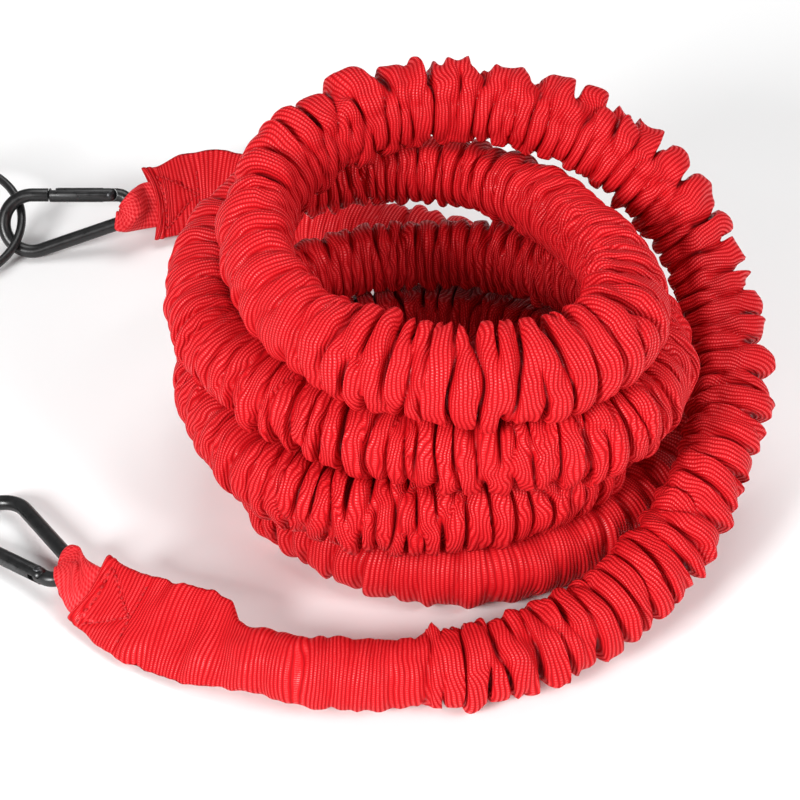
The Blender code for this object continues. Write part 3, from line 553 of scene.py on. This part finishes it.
def webbing_material(name, rib=0.00215, dot=0.00142, groove=(0.36, 0.0016, 0.0045), body=(0.56, 0.0030, 0.0072), crest=(0.83, 0.033, 0.039)):
    """Ribbed polyester webbing: raised ribs, each crossed by warp yarns that show as a row of paler, shinier dots; the
    pale pink of the dots is mostly painted highlight, kept to the tops of the folds. The darker red between the ribs
    and the very dark red in the low folds are painted shade.
    """
    t = Tree(name)
    uv = t.node("ShaderNodeUVMap", uv_map="cloth").outputs[0]
    where = t.node("ShaderNodeTexCoord").outputs["Object"]
    wobble = t.noise(where, 260.0, 2.0)
    split = t.node("ShaderNodeSeparateXYZ")
    t.link(uv, split.inputs[0])
    u = t.math("ADD", split.outputs[0], t.math("MULTIPLY", t.math("SUBTRACT", wobble, 0.5), 0.0004))
    wave = t.math("SINE", t.math("MULTIPLY", u, math.pi / rib))
    ribs = t.math("POWER", t.math("ABSOLUTE", wave), 0.8)
    yarns = t.math("COSINE", t.math("MULTIPLY", split.outputs[1], 2 * math.pi / dot))
    side = t.ramp(wave, -0.3, 0.3, -1.0, 1.0)
    dots = t.math("MULTIPLY_ADD", t.math("MULTIPLY", side, yarns), 0.5, 0.5)
    shade = t.noise(where, 30.0, 3.0)
    on_rib = t.ramp(ribs, 0.62, 0.96)
    spot = t.math("MULTIPLY", on_rib, t.ramp(dots, 0.10, 0.80, 0.14, 1.0))
    height = t.math("ADD", t.math("MULTIPLY", ribs, 0.72), t.math("MULTIPLY", spot, 0.28))
    # Painted shade: a darker red in the grooves between the ribs, the plain red on the ribs.
    colour = t.mix(t.ramp(ribs, 0.10, 0.70), groove, body)
    height_here = t.node("ShaderNodeAttribute", attribute_name="hollow").outputs["Fac"]
    # Painted highlight: the pale pink crest colour goes on the yarn dots mostly on the tops of the folds, faded on
    # their flanks and in the low folds, with a random noise in its strength.
    lit = t.math("MULTIPLY", t.ramp(shade, 0.30, 0.70, 0.55, 1.0), t.ramp(height_here, -0.55, 0.35, 0.12, 1.0))
    colour = t.mix(t.math("MULTIPLY", spot, lit), colour, crest)
    # Painted shade: where the cloth lies well below its mean height the colour turns to a very dark red.
    colour = t.mix(t.ramp(height_here, -0.55, -1.35, 0.0, 0.75), colour, (0.085, 0.0012, 0.0030))
    t.link(colour, t.shader.inputs["Base Color"])
    t.link(t.ramp(spot, 0.2, 0.9, 0.72, 0.36), t.shader.inputs["Roughness"])
    t.link(t.ramp(spot, 0.2, 0.9, 0.12, 0.50), t.shader.inputs["Specular IOR Level"])
    fuzz = t.noise(where, 1400.0, 2.0)
    normal = t.bump(fuzz, 0.00006)
    normal = t.bump(height, 0.00045, 1.0, normal)
    t.link(normal, t.shader.inputs["Normal"])
    return t.mat


# ================================================================ build: sleeve
webbing = webbing_material("gathered_webbing")
rows, cloth, hollow = sleeve_mesh()
sleeve_data, quads = mesh_from_rows("webbing_sleeve", rows)
add_cloth_map(sleeve_data, quads, cloth, 132.0)
# Fold height for the material, which paints shade in the low folds and highlight on the high ones from it.
shade = sleeve_data.attributes.new("hollow", "FLOAT", "POINT")
shade.data.foreach_set("value", hollow.astype(np.float32).ravel())
sleeve = placed("webbing_sleeve", sleeve_data, webbing, "trainer")
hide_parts("sleeve", "latex_tube", "lower_tube_plug", "upper_tube_plug", "lower_tie_band", "upper_tie_band")


# ================================================================ small shape makers (mm)
def mesh_of(name, bm):
    mesh = bpy.data.meshes.new(name)
    bmesh.ops.recalc_face_normals(bm, faces=bm.faces)
    bm.to_mesh(mesh)
    bm.free()
    return mesh


def from_lists(name, points, faces):
    bm = bmesh.new()
    made = [bm.verts.new([float(c) * MM for c in q]) for q in points]
    for face in faces:
        bm.faces.new([made[i] for i in face])
    bmesh.ops.remove_doubles(bm, verts=bm.verts, dist=0.00001)
    return mesh_of(name, bm)


def prism(outline, z0, z1):
    n = len(outline)
    points = [(x, y, z0) for x, y in outline] + [(x, y, z1) for x, y in outline]
    faces = [tuple(range(n))[::-1], tuple(range(n, 2 * n))]
    faces += [(i, (i + 1) % n, n + (i + 1) % n, n + i) for i in range(n)]
    return from_lists("prism", points, faces)


def circle(cx, cy, r, n=40):
    return [(cx + r * math.cos(2 * math.pi * i / n), cy + r * math.sin(2 * math.pi * i / n)) for i in range(n)]


def box_xy(x0, x1, y0, y1):
    return [(x0, y0), (x1, y0), (x1, y1), (x0, y1)]


def turned(profile, steps, axis):
    """A lathe shape. profile is (along, radius), both ends on the axis; axis is X or Z."""
    points, faces, rings = [], [], []
    for along, r in profile:
        if r < 1e-6:
            rings.append([len(points)])
            points.append((along, 0, 0) if axis == "X" else (0, 0, along))
            continue
        ring = []
        for k in range(steps):
            a = 2 * math.pi * k / steps
            ring.append(len(points))
            points.append((along, r * math.cos(a), r * math.sin(a)) if axis == "X" else (r * math.cos(a), r * math.sin(a), along))
        rings.append(ring)
    for one, two in zip(rings, rings[1:]):
        for k in range(steps):
            k1 = (k + 1) % steps
            if len(one) == 1:
                faces.append((one[0], two[k], two[k1]))
            elif len(two) == 1:
                faces.append((one[k], two[0], one[k1]))
            else:
                faces.append((one[k], two[k], two[k1], one[k1]))
    return from_lists("turned", points, faces)


def tube(points, radius, around, cyclic=False):
    """A round wire of many sides along the points."""
    p = np.array(points, float)
    n = len(p)
    t = (np.roll(p, -1, 0) - np.roll(p, 1, 0)) if cyclic else np.gradient(p, axis=0)
    t /= np.linalg.norm(t, axis=1)[:, None]
    normal = np.array([0.0, 0.0, 1.0])
    verts, faces = [], []
    for i in range(n):
        a = normal - t[i] * np.dot(normal, t[i])
        a /= np.linalg.norm(a)
        b = np.cross(t[i], a)
        for k in range(around):
            g = 2 * math.pi * k / around
            verts.append(p[i] + radius * (a * math.cos(g) + b * math.sin(g)))
    for i in range(n if cyclic else n - 1):
        j = (i + 1) % n
        for k in range(around):
            k1 = (k + 1) % around
            faces.append((i * around + k, i * around + k1, j * around + k1, j * around + k))
    if not cyclic:
        faces.append(tuple(range(around))[::-1])
        faces.append(tuple(range((n - 1) * around, n * around)))
    return from_lists("tube", verts, faces)


def joined(meshes):
    bm = bmesh.new()
    for mesh in meshes:
        bm.from_mesh(mesh)
    return mesh_of("joined", bm)


def shaped(name, mesh, steps, round_edges=0.22):
    """Runs booleans, then rounds the sharp edges. steps are (operation, mesh)."""
    obj = bpy.data.objects.new(name, mesh)
    scene.collection.objects.link(obj)
    tools = []
    for operation, other in steps:
        tool = bpy.data.objects.new(name + "_tool", other)
        scene.collection.objects.link(tool)
        tools.append(tool)
        mod = obj.modifiers.new("cut", "BOOLEAN")
        mod.operation, mod.solver, mod.object = operation, "EXACT", tool
    if round_edges:
        mod = obj.modifiers.new("round", "BEVEL")
        mod.width, mod.segments, mod.limit_method = round_edges * MM, 3, "ANGLE"
        mod.angle_limit = math.radians(38)
        mod.harden_normals = False
    graph = bpy.context.evaluated_depsgraph_get()
    made = bpy.data.meshes.new_from_object(obj.evaluated_get(graph))
    for other in [obj] + tools:
        bpy.data.objects.remove(other, do_unlink=True)
    made.name = name
    return made


def finished(name, mesh, matrix, mat, body, angle=38):
    mesh.transform(matrix)
    obj = placed(name, mesh, mat, body, smooth=False)
    mesh.shade_smooth()
    mesh.set_sharp_from_angle(angle=math.radians(angle))
    return obj


# ================================================================ materials of the metal and small parts
def metal_material(name, base, worn, rough, metallic, scale=60.0, coat=0.0):
    """Coated or plated metal: uneven tone and gloss, fine grain, wear on proud edges."""
    t = Tree(name)
    where = t.node("ShaderNodeTexCoord").outputs["Object"]
    cloud = t.noise(where, scale, 4.0, 0.6)
    grain = t.noise(where, 1500.0, 3.0)
    smear = t.noise(where, scale * 4, 5.0, 0.7)
    edge = t.ramp(t.node("ShaderNodeNewGeometry").outputs["Pointiness"], 0.53, 0.60)
    tone = t.mix(t.ramp(cloud, 0.30, 0.72), base, tuple(min(1.0, c * 1.55 + 0.003) for c in base))
    tone = t.mix(t.math("MULTIPLY", edge, t.ramp(smear, 0.40, 0.60, 0.15, 0.75)), tone, worn)
    t.link(tone, t.shader.inputs["Base Color"])
    t.link(t.ramp(smear, 0.28, 0.74, rough - 0.07, rough + 0.10), t.shader.inputs["Roughness"])
    t.shader.inputs["Metallic"].default_value = metallic
    t.shader.inputs["Coat Weight"].default_value = coat
    t.shader.inputs["Coat Roughness"].default_value = 0.25
    t.link(t.bump(grain, 0.000035, 0.8, t.bump(smear, 0.00004)), t.shader.inputs["Normal"])
    return t.mat


def plain_material(name, base, other, rough, scale):
    t = Tree(name)
    where = t.node("ShaderNodeTexCoord").outputs["Object"]
    cloud = t.noise(where, scale, 4.0, 0.6)
    fine = t.noise(where, scale * 18, 3.0)
    t.link(t.mix(t.ramp(cloud, 0.3, 0.7), base, other), t.shader.inputs["Base Color"])
    t.link(t.ramp(fine, 0.3, 0.7, rough - 0.06, rough + 0.08), t.shader.inputs["Roughness"])
    t.link(t.bump(fine, 0.00004), t.shader.inputs["Normal"])
    return t.mat


def strap_material(name):
    """Plain weave of thick yarns, over and under, in two reds."""
    t = Tree(name)
    split = t.node("ShaderNodeSeparateXYZ")
    t.link(t.node("ShaderNodeUVMap", uv_map="cloth").outputs[0], split.inputs[0])
    where = t.node("ShaderNodeTexCoord").outputs["Object"]
    a = t.math("SINE", t.math("MULTIPLY", t.math("ADD", split.outputs[0], split.outputs[1]), math.pi / 0.00175))
    b = t.math("SINE", t.math("MULTIPLY", t.math("SUBTRACT", split.outputs[0], t.math("MULTIPLY", split.outputs[1], 0.55)), math.pi / 0.00230))
    weave = t.math("MULTIPLY_ADD", t.math("MULTIPLY", a, b), 0.5, 0.5)
    shade = t.noise(where, 90.0, 3.0)
    colour = t.mix(t.ramp(weave, 0.25, 0.75), (0.56, 0.0040, 0.0095), (0.86, 0.052, 0.058))
    colour = t.mix(t.ramp(shade, 0.35, 0.70, 0.45, 0.0), colour, (0.52, 0.0034, 0.0085))
    t.link(colour, t.shader.inputs["Base Color"])
    t.link(t.ramp(weave, 0.2, 0.8, 0.80, 0.50), t.shader.inputs["Roughness"])
    t.shader.inputs["Specular IOR Level"].default_value = 0.25
    t.link(t.bump(weave, 0.00035, 1.0, t.bump(t.noise(where, 1600.0), 0.00005)), t.shader.inputs["Normal"])
    return t.mat


black_steel = metal_material("black_coated_steel", (0.0045, 0.0045, 0.0048), (0.040, 0.040, 0.042), 0.33, 0.0, coat=0.10)
dark_zinc = metal_material("dark_zinc_steel", (0.030, 0.030, 0.032), (0.20, 0.20, 0.21), 0.38, 0.70)
spring_wire = metal_material("spring_wire_steel", (0.30, 0.31, 0.32), (0.55, 0.55, 0.56), 0.30, 1.0)
nylon = plain_material("moulded_nylon", (0.030, 0.030, 0.034), (0.045, 0.045, 0.050), 0.50, 70.0)
thread = plain_material("sewing_thread", (0.40, 0.0020, 0.0058), (0.56, 0.0040, 0.0090), 0.62, 700.0)
strap_cloth = strap_material("strap_webbing")

# ================================================================ hooks
WIRE, WIDE_R, NARROW_R, SPAN = 4.0, 16.8, 8.4, 50.5
PIVOT_X, NOSE_X, GATE_R = 46.5, 9.5, 4.3
RING_R, RING_WIRE = 41.4, 2.6
LOWER_TIP, LOWER_YAW, LOWER_HOOK_LEAN, LOWER_PITCH = (-168.5, -80.0, 12.2), -37.0, 86.0, 5.5
UPPER_TIP, UPPER_YAW, UPPER_HOOK_LEAN, UPPER_PITCH = (-160.5, 220.2, 24.0), 0.0, 40.0, 0.0


def hook_line():
    """Middle of the hook wire, from the gate hinge round to the nose."""
    spine = math.degrees(2 * math.atan2(WIDE_R - NARROW_R, SPAN))
    line = [(PIVOT_X - 3.2, 0.0), (PIVOT_X, 0.0)]
    for a in np.linspace(90.0, -90.0 + spine, 34):
        line.append((SPAN + NARROW_R * math.cos(math.radians(a)), -NARROW_R + NARROW_R * math.sin(math.radians(a))))
    for a in np.linspace(-90.0 + spine, -270.0, 46):
        line.append((WIDE_R * math.cos(math.radians(a)), -WIDE_R + WIDE_R * math.sin(math.radians(a))))
    line.append((NOSE_X, 0.0))
    return [(x, y, 0.0) for x, y in line]


def hook_axes(yaw, lean, pitch):
    y, l, q = (math.radians(x) for x in (yaw, lean, pitch))
    along = Vector((math.cos(y) * math.cos(q), math.sin(y) * math.cos(q), math.sin(q)))
    level = Vector((-math.sin(y), math.cos(y), 0.0))
    up = along.cross(level)
    if up.z < 0:
        up = -up
    rise = (up * math.cos(l) + level * math.sin(l)).normalized()
    return along, rise, along.cross(rise)


def frame_matrix(origin, x, y, z):
    m = Matrix.Identity(4)
    for i, axis in enumerate((x, y, z)):
        for k in range(3):
            m[k][i] = axis[k]
    m.translation = Vector([c * MM for c in origin]) + Vector(SHIFT * MM)
    return m


def hook(prefix, tip, yaw, lean, pitch, gate_up):
    along, rise, out = hook_axes(yaw, lean, pitch)
    if not gate_up:
        rise, out = -rise, -out
    origin = Vector(tip) - along * (SPAN + NARROW_R) + rise * NARROW_R
    matrix = frame_matrix(origin, along, rise, out)
    hinge = matrix @ Matrix.Translation(Vector((PIVOT_X * MM, 0, 0)))

    tongue = prism(box_xy(NOSE_X - 1.5, NOSE_X + 5.2, -2.3, 2.3), -1.2, 1.2)
    cheeks = []
    for z0, z1 in ((1.4, 7.0), (-7.0, -1.4)):
        outline = [(PIVOT_X - 6.0, -7.0), (PIVOT_X, -7.0)]
        outline += [(PIVOT_X + 4.75 * math.cos(math.radians(a)), 4.75 * math.sin(math.radians(a))) for a in range(-84, 85, 6)]
        outline += [(PIVOT_X, 7.0), (PIVOT_X - 6.0, 7.0)]
        cheeks.append(prism(outline, z0, z1))
    corner = [(PIVOT_X - 4.2, 2.2), (PIVOT_X - 3.2, 2.2), (PIVOT_X - 2.3, 3.1), (PIVOT_X - 1.0, 3.7), (PIVOT_X - 0.2, 3.75),
              (PIVOT_X - 0.2, 7.0), (PIVOT_X - 4.2, 7.0)]
    corners = [prism(corner, -3, 3), prism([(x, -y) for x, y in corner][::-1], -3, 3)]
    holes = [prism(circle(PIVOT_X, 0, 1.65), -3, 3), prism(circle(NOSE_X + 3.2, 0, 1.3, 24), -3, 3)]
    body = shaped(prefix + "_snap_hook", tube(hook_line(), WIRE, 40),
                  [("UNION", tongue), ("DIFFERENCE", joined(cheeks)), ("DIFFERENCE", joined(corners)), ("DIFFERENCE", joined(holes))])
    body_obj = finished(prefix + "_snap_hook", body, matrix, black_steel, prefix + "_hook")
    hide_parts(prefix + "_hook_body")

    x0 = NOSE_X + 0.8 - PIVOT_X
    profile = [(x0, 0.0), (x0, GATE_R - 0.5), (x0 + 0.5, GATE_R), (0.0, GATE_R)]
    profile += [(GATE_R * math.sin(math.radians(a)), GATE_R * math.cos(math.radians(a))) for a in range(9, 90, 9)] + [(GATE_R, 0.0)]
    slot = prism(box_xy(-GATE_R, 6.0, -7.0, 7.0), -1.75, 1.75)
    nose_slot = prism(box_xy(x0 - 1.0, NOSE_X + 6.0 - PIVOT_X, -2.8, 7.0), -1.6, 1.6)
    notch = prism(box_xy(NOSE_X + 1.6 - PIVOT_X, NOSE_X + 4.8 - PIVOT_X, -1.8, 7.0), -3.4, 3.4)
    pin_hole = prism(circle(0, 0, 1.68), -7, 7)
    bore = turned([(-23.0, 0.0), (-23.0, 2.3), (-3.8, 2.3), (-3.8, 0.0)], 32, "X")
    gate = shaped(prefix + "_round_gate", turned(profile, 48, "X"),
                  [("DIFFERENCE", joined([slot, nose_slot])), ("DIFFERENCE", joined([notch, pin_hole])), ("DIFFERENCE", bore)], 0.15)
    gate_obj = finished(prefix + "_round_gate", gate, hinge, black_steel, prefix + "_gate")
    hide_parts(prefix + "_gate")

    rivet = [(-5.5, 0), (-5.42, 0.9), (-5.2, 1.6), (-4.9, 2.05), (-4.65, 2.2), (-4.65, 1.32), (4.65, 1.32), (4.65, 2.2), (4.9, 2.05), (5.2, 1.6), (5.42, 0.9), (5.5, 0)]
    pin_obj = finished(prefix + "_rivet", turned(rivet, 40, "Z"), hinge, dark_zinc, prefix + "_hook")
    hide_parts(prefix + "_hinge_pin")
    return body_obj, along, rise, out


lower_hook, l_along, l_rise, l_out = hook("lower", LOWER_TIP, LOWER_YAW, LOWER_HOOK_LEAN, LOWER_PITCH, False)
upper_hook, u_along, u_rise, u_out = hook("upper", UPPER_TIP, UPPER_YAW, UPPER_HOOK_LEAN, UPPER_PITCH, True)

# ================================================================ the ring in the upper hook
view_back = Vector((0.0, 0.766, -0.643))
ring_up = (u_rise * math.cos(math.radians(30)) + view_back * math.sin(math.radians(30))).normalized()
ring_right = Vector((1.0, 0.0, 0.0))
ring_right = (ring_right - ring_up * ring_right.dot(ring_up)).normalized()
ring_out = ring_right.cross(ring_up)
link = Vector(UPPER_TIP) - u_along * (SPAN + NARROW_R) + u_rise * NARROW_R + u_along * -6.5 - u_rise * WIDE_R
loop = [(-RING_R + RING_R * math.cos(a), RING_R * math.sin(a), 0.0) for a in np.linspace(0, 2 * math.pi, 144, endpoint=False)]
ring_obj = finished("round_belt_ring", tube(loop, RING_WIRE, 28, cyclic=True), frame_matrix(link, ring_right, ring_up, ring_out),
                    black_steel, "ring")
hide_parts("belt_ring")


# ================================================================ loop straps
def unit(x):
    return x / np.linalg.norm(x)


def loop_strap(name, tip, along, rise, s_mouth, inward, tilt, seed):
    """A bunched band from the sewn end, round the hook's narrow bend and back, as wide lobes on both sides of the wire."""
    tip, along, rise = np.array(tip), np.array(along), np.array(rise)
    if rise[2] < 0:
        rise = -rise
    out = np.cross(along, rise)
    lean = np.radians(90 - LOWER_LEAN) if s_mouth < 1 else np.radians(table_at(np.array([1568.0]), CREASE_LEAN)[0])

    def in_sleeve(distance):
        q, t, side, up = (x[0] for x in along_line(np.array([s_mouth + inward * distance])))
        w = side * math.cos(lean) + up * math.sin(lean)
        n = up * math.cos(lean) - side * math.sin(lean)
        return q, n * math.copysign(1, np.dot(n, out)), w * math.copysign(1, np.dot(w, rise)), t * inward

    mouth, n0, w0, t0 = in_sleeve(0.0)
    middle = tip - along * NARROW_R
    columns = 56
    wave = np.random.default_rng(seed).uniform(0, 2 * math.pi, 3)
    sheet = []
    for j in range(columns + 1):
        w = -1 + 2 * j / columns
        phi = math.radians(tilt + 72.0 * w)
        radial = along * math.cos(phi) + rise * math.sin(phi)
        wire_here = middle + radial * NARROW_R
        pleat = 0.8 * math.cos(2.3 * math.pi * w + wave[0]) + 0.4 * math.cos(4.9 * math.pi * w + wave[1])
        lobe = math.sqrt(max(0.0, 1 - w * w))
        keys = []
        for sign in (1, -1):
            leg = []
            q, n, width, _t = in_sleeve(15.0)
            leg.append(q + n * 1.6 * sign + width * 13.0 * w)
            q, n, width, _t = in_sleeve(4.0)
            leg.append(q + n * 2.2 * sign + width * 13.5 * w)
            leg.append(mouth - t0 * 1.0 + n0 * (1.6 + 1.6 * lobe + 0.4 * pleat) * sign + w0 * 13.5 * w)
            mid = (mouth - t0 * 3.5 + w0 * 13.0 * w) * 0.5 + (wire_here + radial * 6.5) * 0.5
            leg.append(mid + unit(n0 + out) * (1.0 + 5.6 * lobe + 1.0 * pleat * lobe) * sign)
            leg.append(wire_here + out * (WIRE + 1.0 + 1.0 * lobe + 0.6 * max(0.0, pleat)) * sign + radial * 3.2)
            keys += leg if sign == 1 else leg[::-1]
            if sign == 1:
                for a in np.radians([5, 25, 45, 70, 90, 110, 135, 155, 175]):
                    keys.append(wire_here + (out * math.cos(a) - radial * math.sin(a)) * (WIRE + 1.4 + (0.5 + 0.5 * pleat) * math.sin(a)))
        keys = np.array(keys)
        knots = np.r_[0.0, np.cumsum(np.linalg.norm(np.diff(keys, axis=0), axis=1))]
        sheet.append(natural_spline(knots, keys, np.linspace(0, knots[-1], 132)))
    sheet = np.array(sheet).transpose(1, 0, 2)
    du, dw = np.gradient(sheet, axis=0), np.gradient(sheet, axis=1)
    normal = np.cross(du, dw)
    normal /= np.linalg.norm(normal, axis=2)[..., None] + 1e-9
    wide = -1 + 2 * np.arange(columns + 1) / columns
    thick = 0.72 * np.clip(1 - np.abs(wide) ** 12, 0.0, 1)[None, :, None] + 0.12
    rows_here = np.concatenate([sheet + normal * thick, (sheet - normal * thick)[:, ::-1]], 1)
    step = np.linalg.norm(np.diff(sheet, axis=0), axis=2).mean(1)
    cloth_here = np.repeat(np.r_[0.0, np.cumsum(step)][:, None], rows_here.shape[1], 1)
    rows_here[..., 2] = np.maximum(rows_here[..., 2], 0.4)
    mesh, faces = mesh_from_rows(name, rows_here)
    add_cloth_map(mesh, faces, cloth_here, 58.0)
    obj = placed(name, mesh, strap_cloth, None)
    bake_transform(obj)
    return obj


lower_loop = loop_strap("lower_bunched_strap", LOWER_TIP, l_along, l_rise, 0.0, 1.0, 24.0, 71)
upper_loop = loop_strap("upper_bunched_strap", UPPER_TIP, u_along, u_rise, LENGTH, -1.0, -22.0, 72)
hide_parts("lower_loop_strap")
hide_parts("upper_loop_strap")


# ================================================================ stitches through the sewn ends
def capsule(centre, direction, normal, half, r):
    """One visible stitch: a short bowed capsule."""
    side = np.cross(normal, direction)
    verts, around, count = [], 8, 7
    for i in range(count):
        x = -1 + 2 * i / (count - 1)
        rr = r * math.sqrt(max(0.02, 1 - abs(x) ** 3))
        mid = centre + direction * half * x + normal * (0.35 * r * (1 - x * x))
        for k in range(around):
            a = 2 * math.pi * k / around
            verts.append(mid + rr * (normal * math.cos(a) + side * math.sin(a)))
    faces = [(i * around + k, i * around + (k + 1) % around, (i + 1) * around + (k + 1) % around, (i + 1) * around + k)
             for i in range(count - 1) for k in range(around)]
    faces += [tuple(range(around))[::-1], tuple(range((count - 1) * around, count * around))]
    return verts, faces


def stitches(name, lower):
    s_rows = sleeve_rows()
    points = rows[6:-6]
    lines = [((5.6, -16.5), (5.6, 16.5)), ((30.5, -16.5), (30.5, 16.5)), ((7.0, 16.0), (30.0, -2.0)), ((30.0, -2.0), (8.0, -16.0))]
    wide_top = table_at(np.arange(40.0), LOWER_TOP if lower else UPPER_BOTTOM)
    wide_low = table_at(np.arange(40.0), LOWER_BOTTOM if lower else UPPER_TOP)
    verts, faces = [], []
    for face in (1, -1):
        for (x0, y0), (x1, y1) in lines:
            length = math.hypot(x1 - x0, y1 - y0)
            count = int(length / 3.1)
            for k in range(count):
                ends = []
                for q in ((k + 0.16) / count, (k + 0.80) / count):
                    distance, across = x0 + (x1 - x0) * q, y0 + (y1 - y0) * q
                    width = wide_top[int(distance)] if across > 0 else wide_low[int(distance)]
                    half = across / width
                    column = (1 - half) * AROUND / 4 if face == 1 else AROUND - (1 - half) * AROUND / 4
                    i = int(np.argmin(np.abs((s_rows if lower else LENGTH - s_rows) - distance)))
                    c0 = int(column) % AROUND
                    f = column - int(column)
                    here = points[i, c0] * (1 - f) + points[i, (c0 + 1) % AROUND] * f
                    ends.append((here, points[i, (c0 + 2) % AROUND] - points[i, (c0 - 2) % AROUND], points[min(i + 2, len(points) - 1), c0] - points[max(i - 2, 0), c0]))
                (a, across_a, along_a), (b, _x, _y) = ends
                normal = unit(np.cross(across_a, along_a))
                mid_line = along_line(np.array([(distance if lower else LENGTH - distance)]))[0][0]
                if np.dot(normal, a - mid_line) < 0:
                    normal = -normal
                v, f = capsule((a + b) / 2 + normal * 0.45, unit(b - a), normal, np.linalg.norm(b - a) / 2, 0.52)
                faces += [tuple(x + len(verts) for x in face_) for face_ in f]
                verts += v
    mesh = bpy.data.meshes.new(name)
    mesh.from_pydata([tuple((q + SHIFT) * MM) for q in verts], [], faces)
    return placed(name, mesh, thread, "trainer")


lower_stitches = stitches("lower_box_stitches", True)
upper_stitches = stitches("upper_box_stitches", False)
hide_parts("lower_stitching_front", "lower_stitching_back")
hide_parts("upper_stitching_front", "upper_stitching_back")

# ================================================================ finishes of the small parts that stay
for end in ("lower", "upper"):
    for node, mat in (("latch_pin", dark_zinc), ("gate_spring", spring_wire), ("spring_plunger", nylon)):
        part_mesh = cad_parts[end + "_" + node].data
        part_mesh.materials.clear()
        part_mesh.materials.append(mat)

# ================================================================ stage and light
bpy.ops.mesh.primitive_plane_add(size=8.0, location=(0, 0, 0))
floor = bpy.context.object
floor.name = "floor"
floor_tree = Tree("floor")
floor_tree.shader.inputs["Base Color"].default_value = (0.93, 0.93, 0.93, 1.0)
floor_tree.shader.inputs["Roughness"].default_value = 0.9
floor.data.materials.append(floor_tree.mat)

world = bpy.data.worlds.new("studio")
scene.world = world
world.use_nodes = True
world.node_tree.nodes["Background"].inputs["Color"].default_value = (1.0, 1.0, 1.0, 1.0)
world.node_tree.nodes["Background"].inputs["Strength"].default_value = 0.20


def area_light(name, location, target, size, power):
    data = bpy.data.lights.new(name, "AREA")
    data.shape = "RECTANGLE"
    data.size, data.size_y = size
    data.energy = power
    light = bpy.data.objects.new(name, data)
    light.location = location
    light.rotation_mode = "QUATERNION"
    light.rotation_quaternion = (Vector(target) - Vector(location)).to_track_quat("-Z", "Y")
    scene.collection.objects.link(light)
    return light


area_light("key", (-1.20, -1.65, 1.10), (0, 0, 0.06), (0.70, 0.70), 57.0)
area_light("fill", (1.45, -1.05, 1.15), (0, 0, 0.06), (0.9, 0.9), 29.0)
area_light("top", (0.15, 0.75, 1.9), (0, 0, 0.05), (1.3, 1.3), 17.0)

scene.view_settings.view_transform = "Standard"
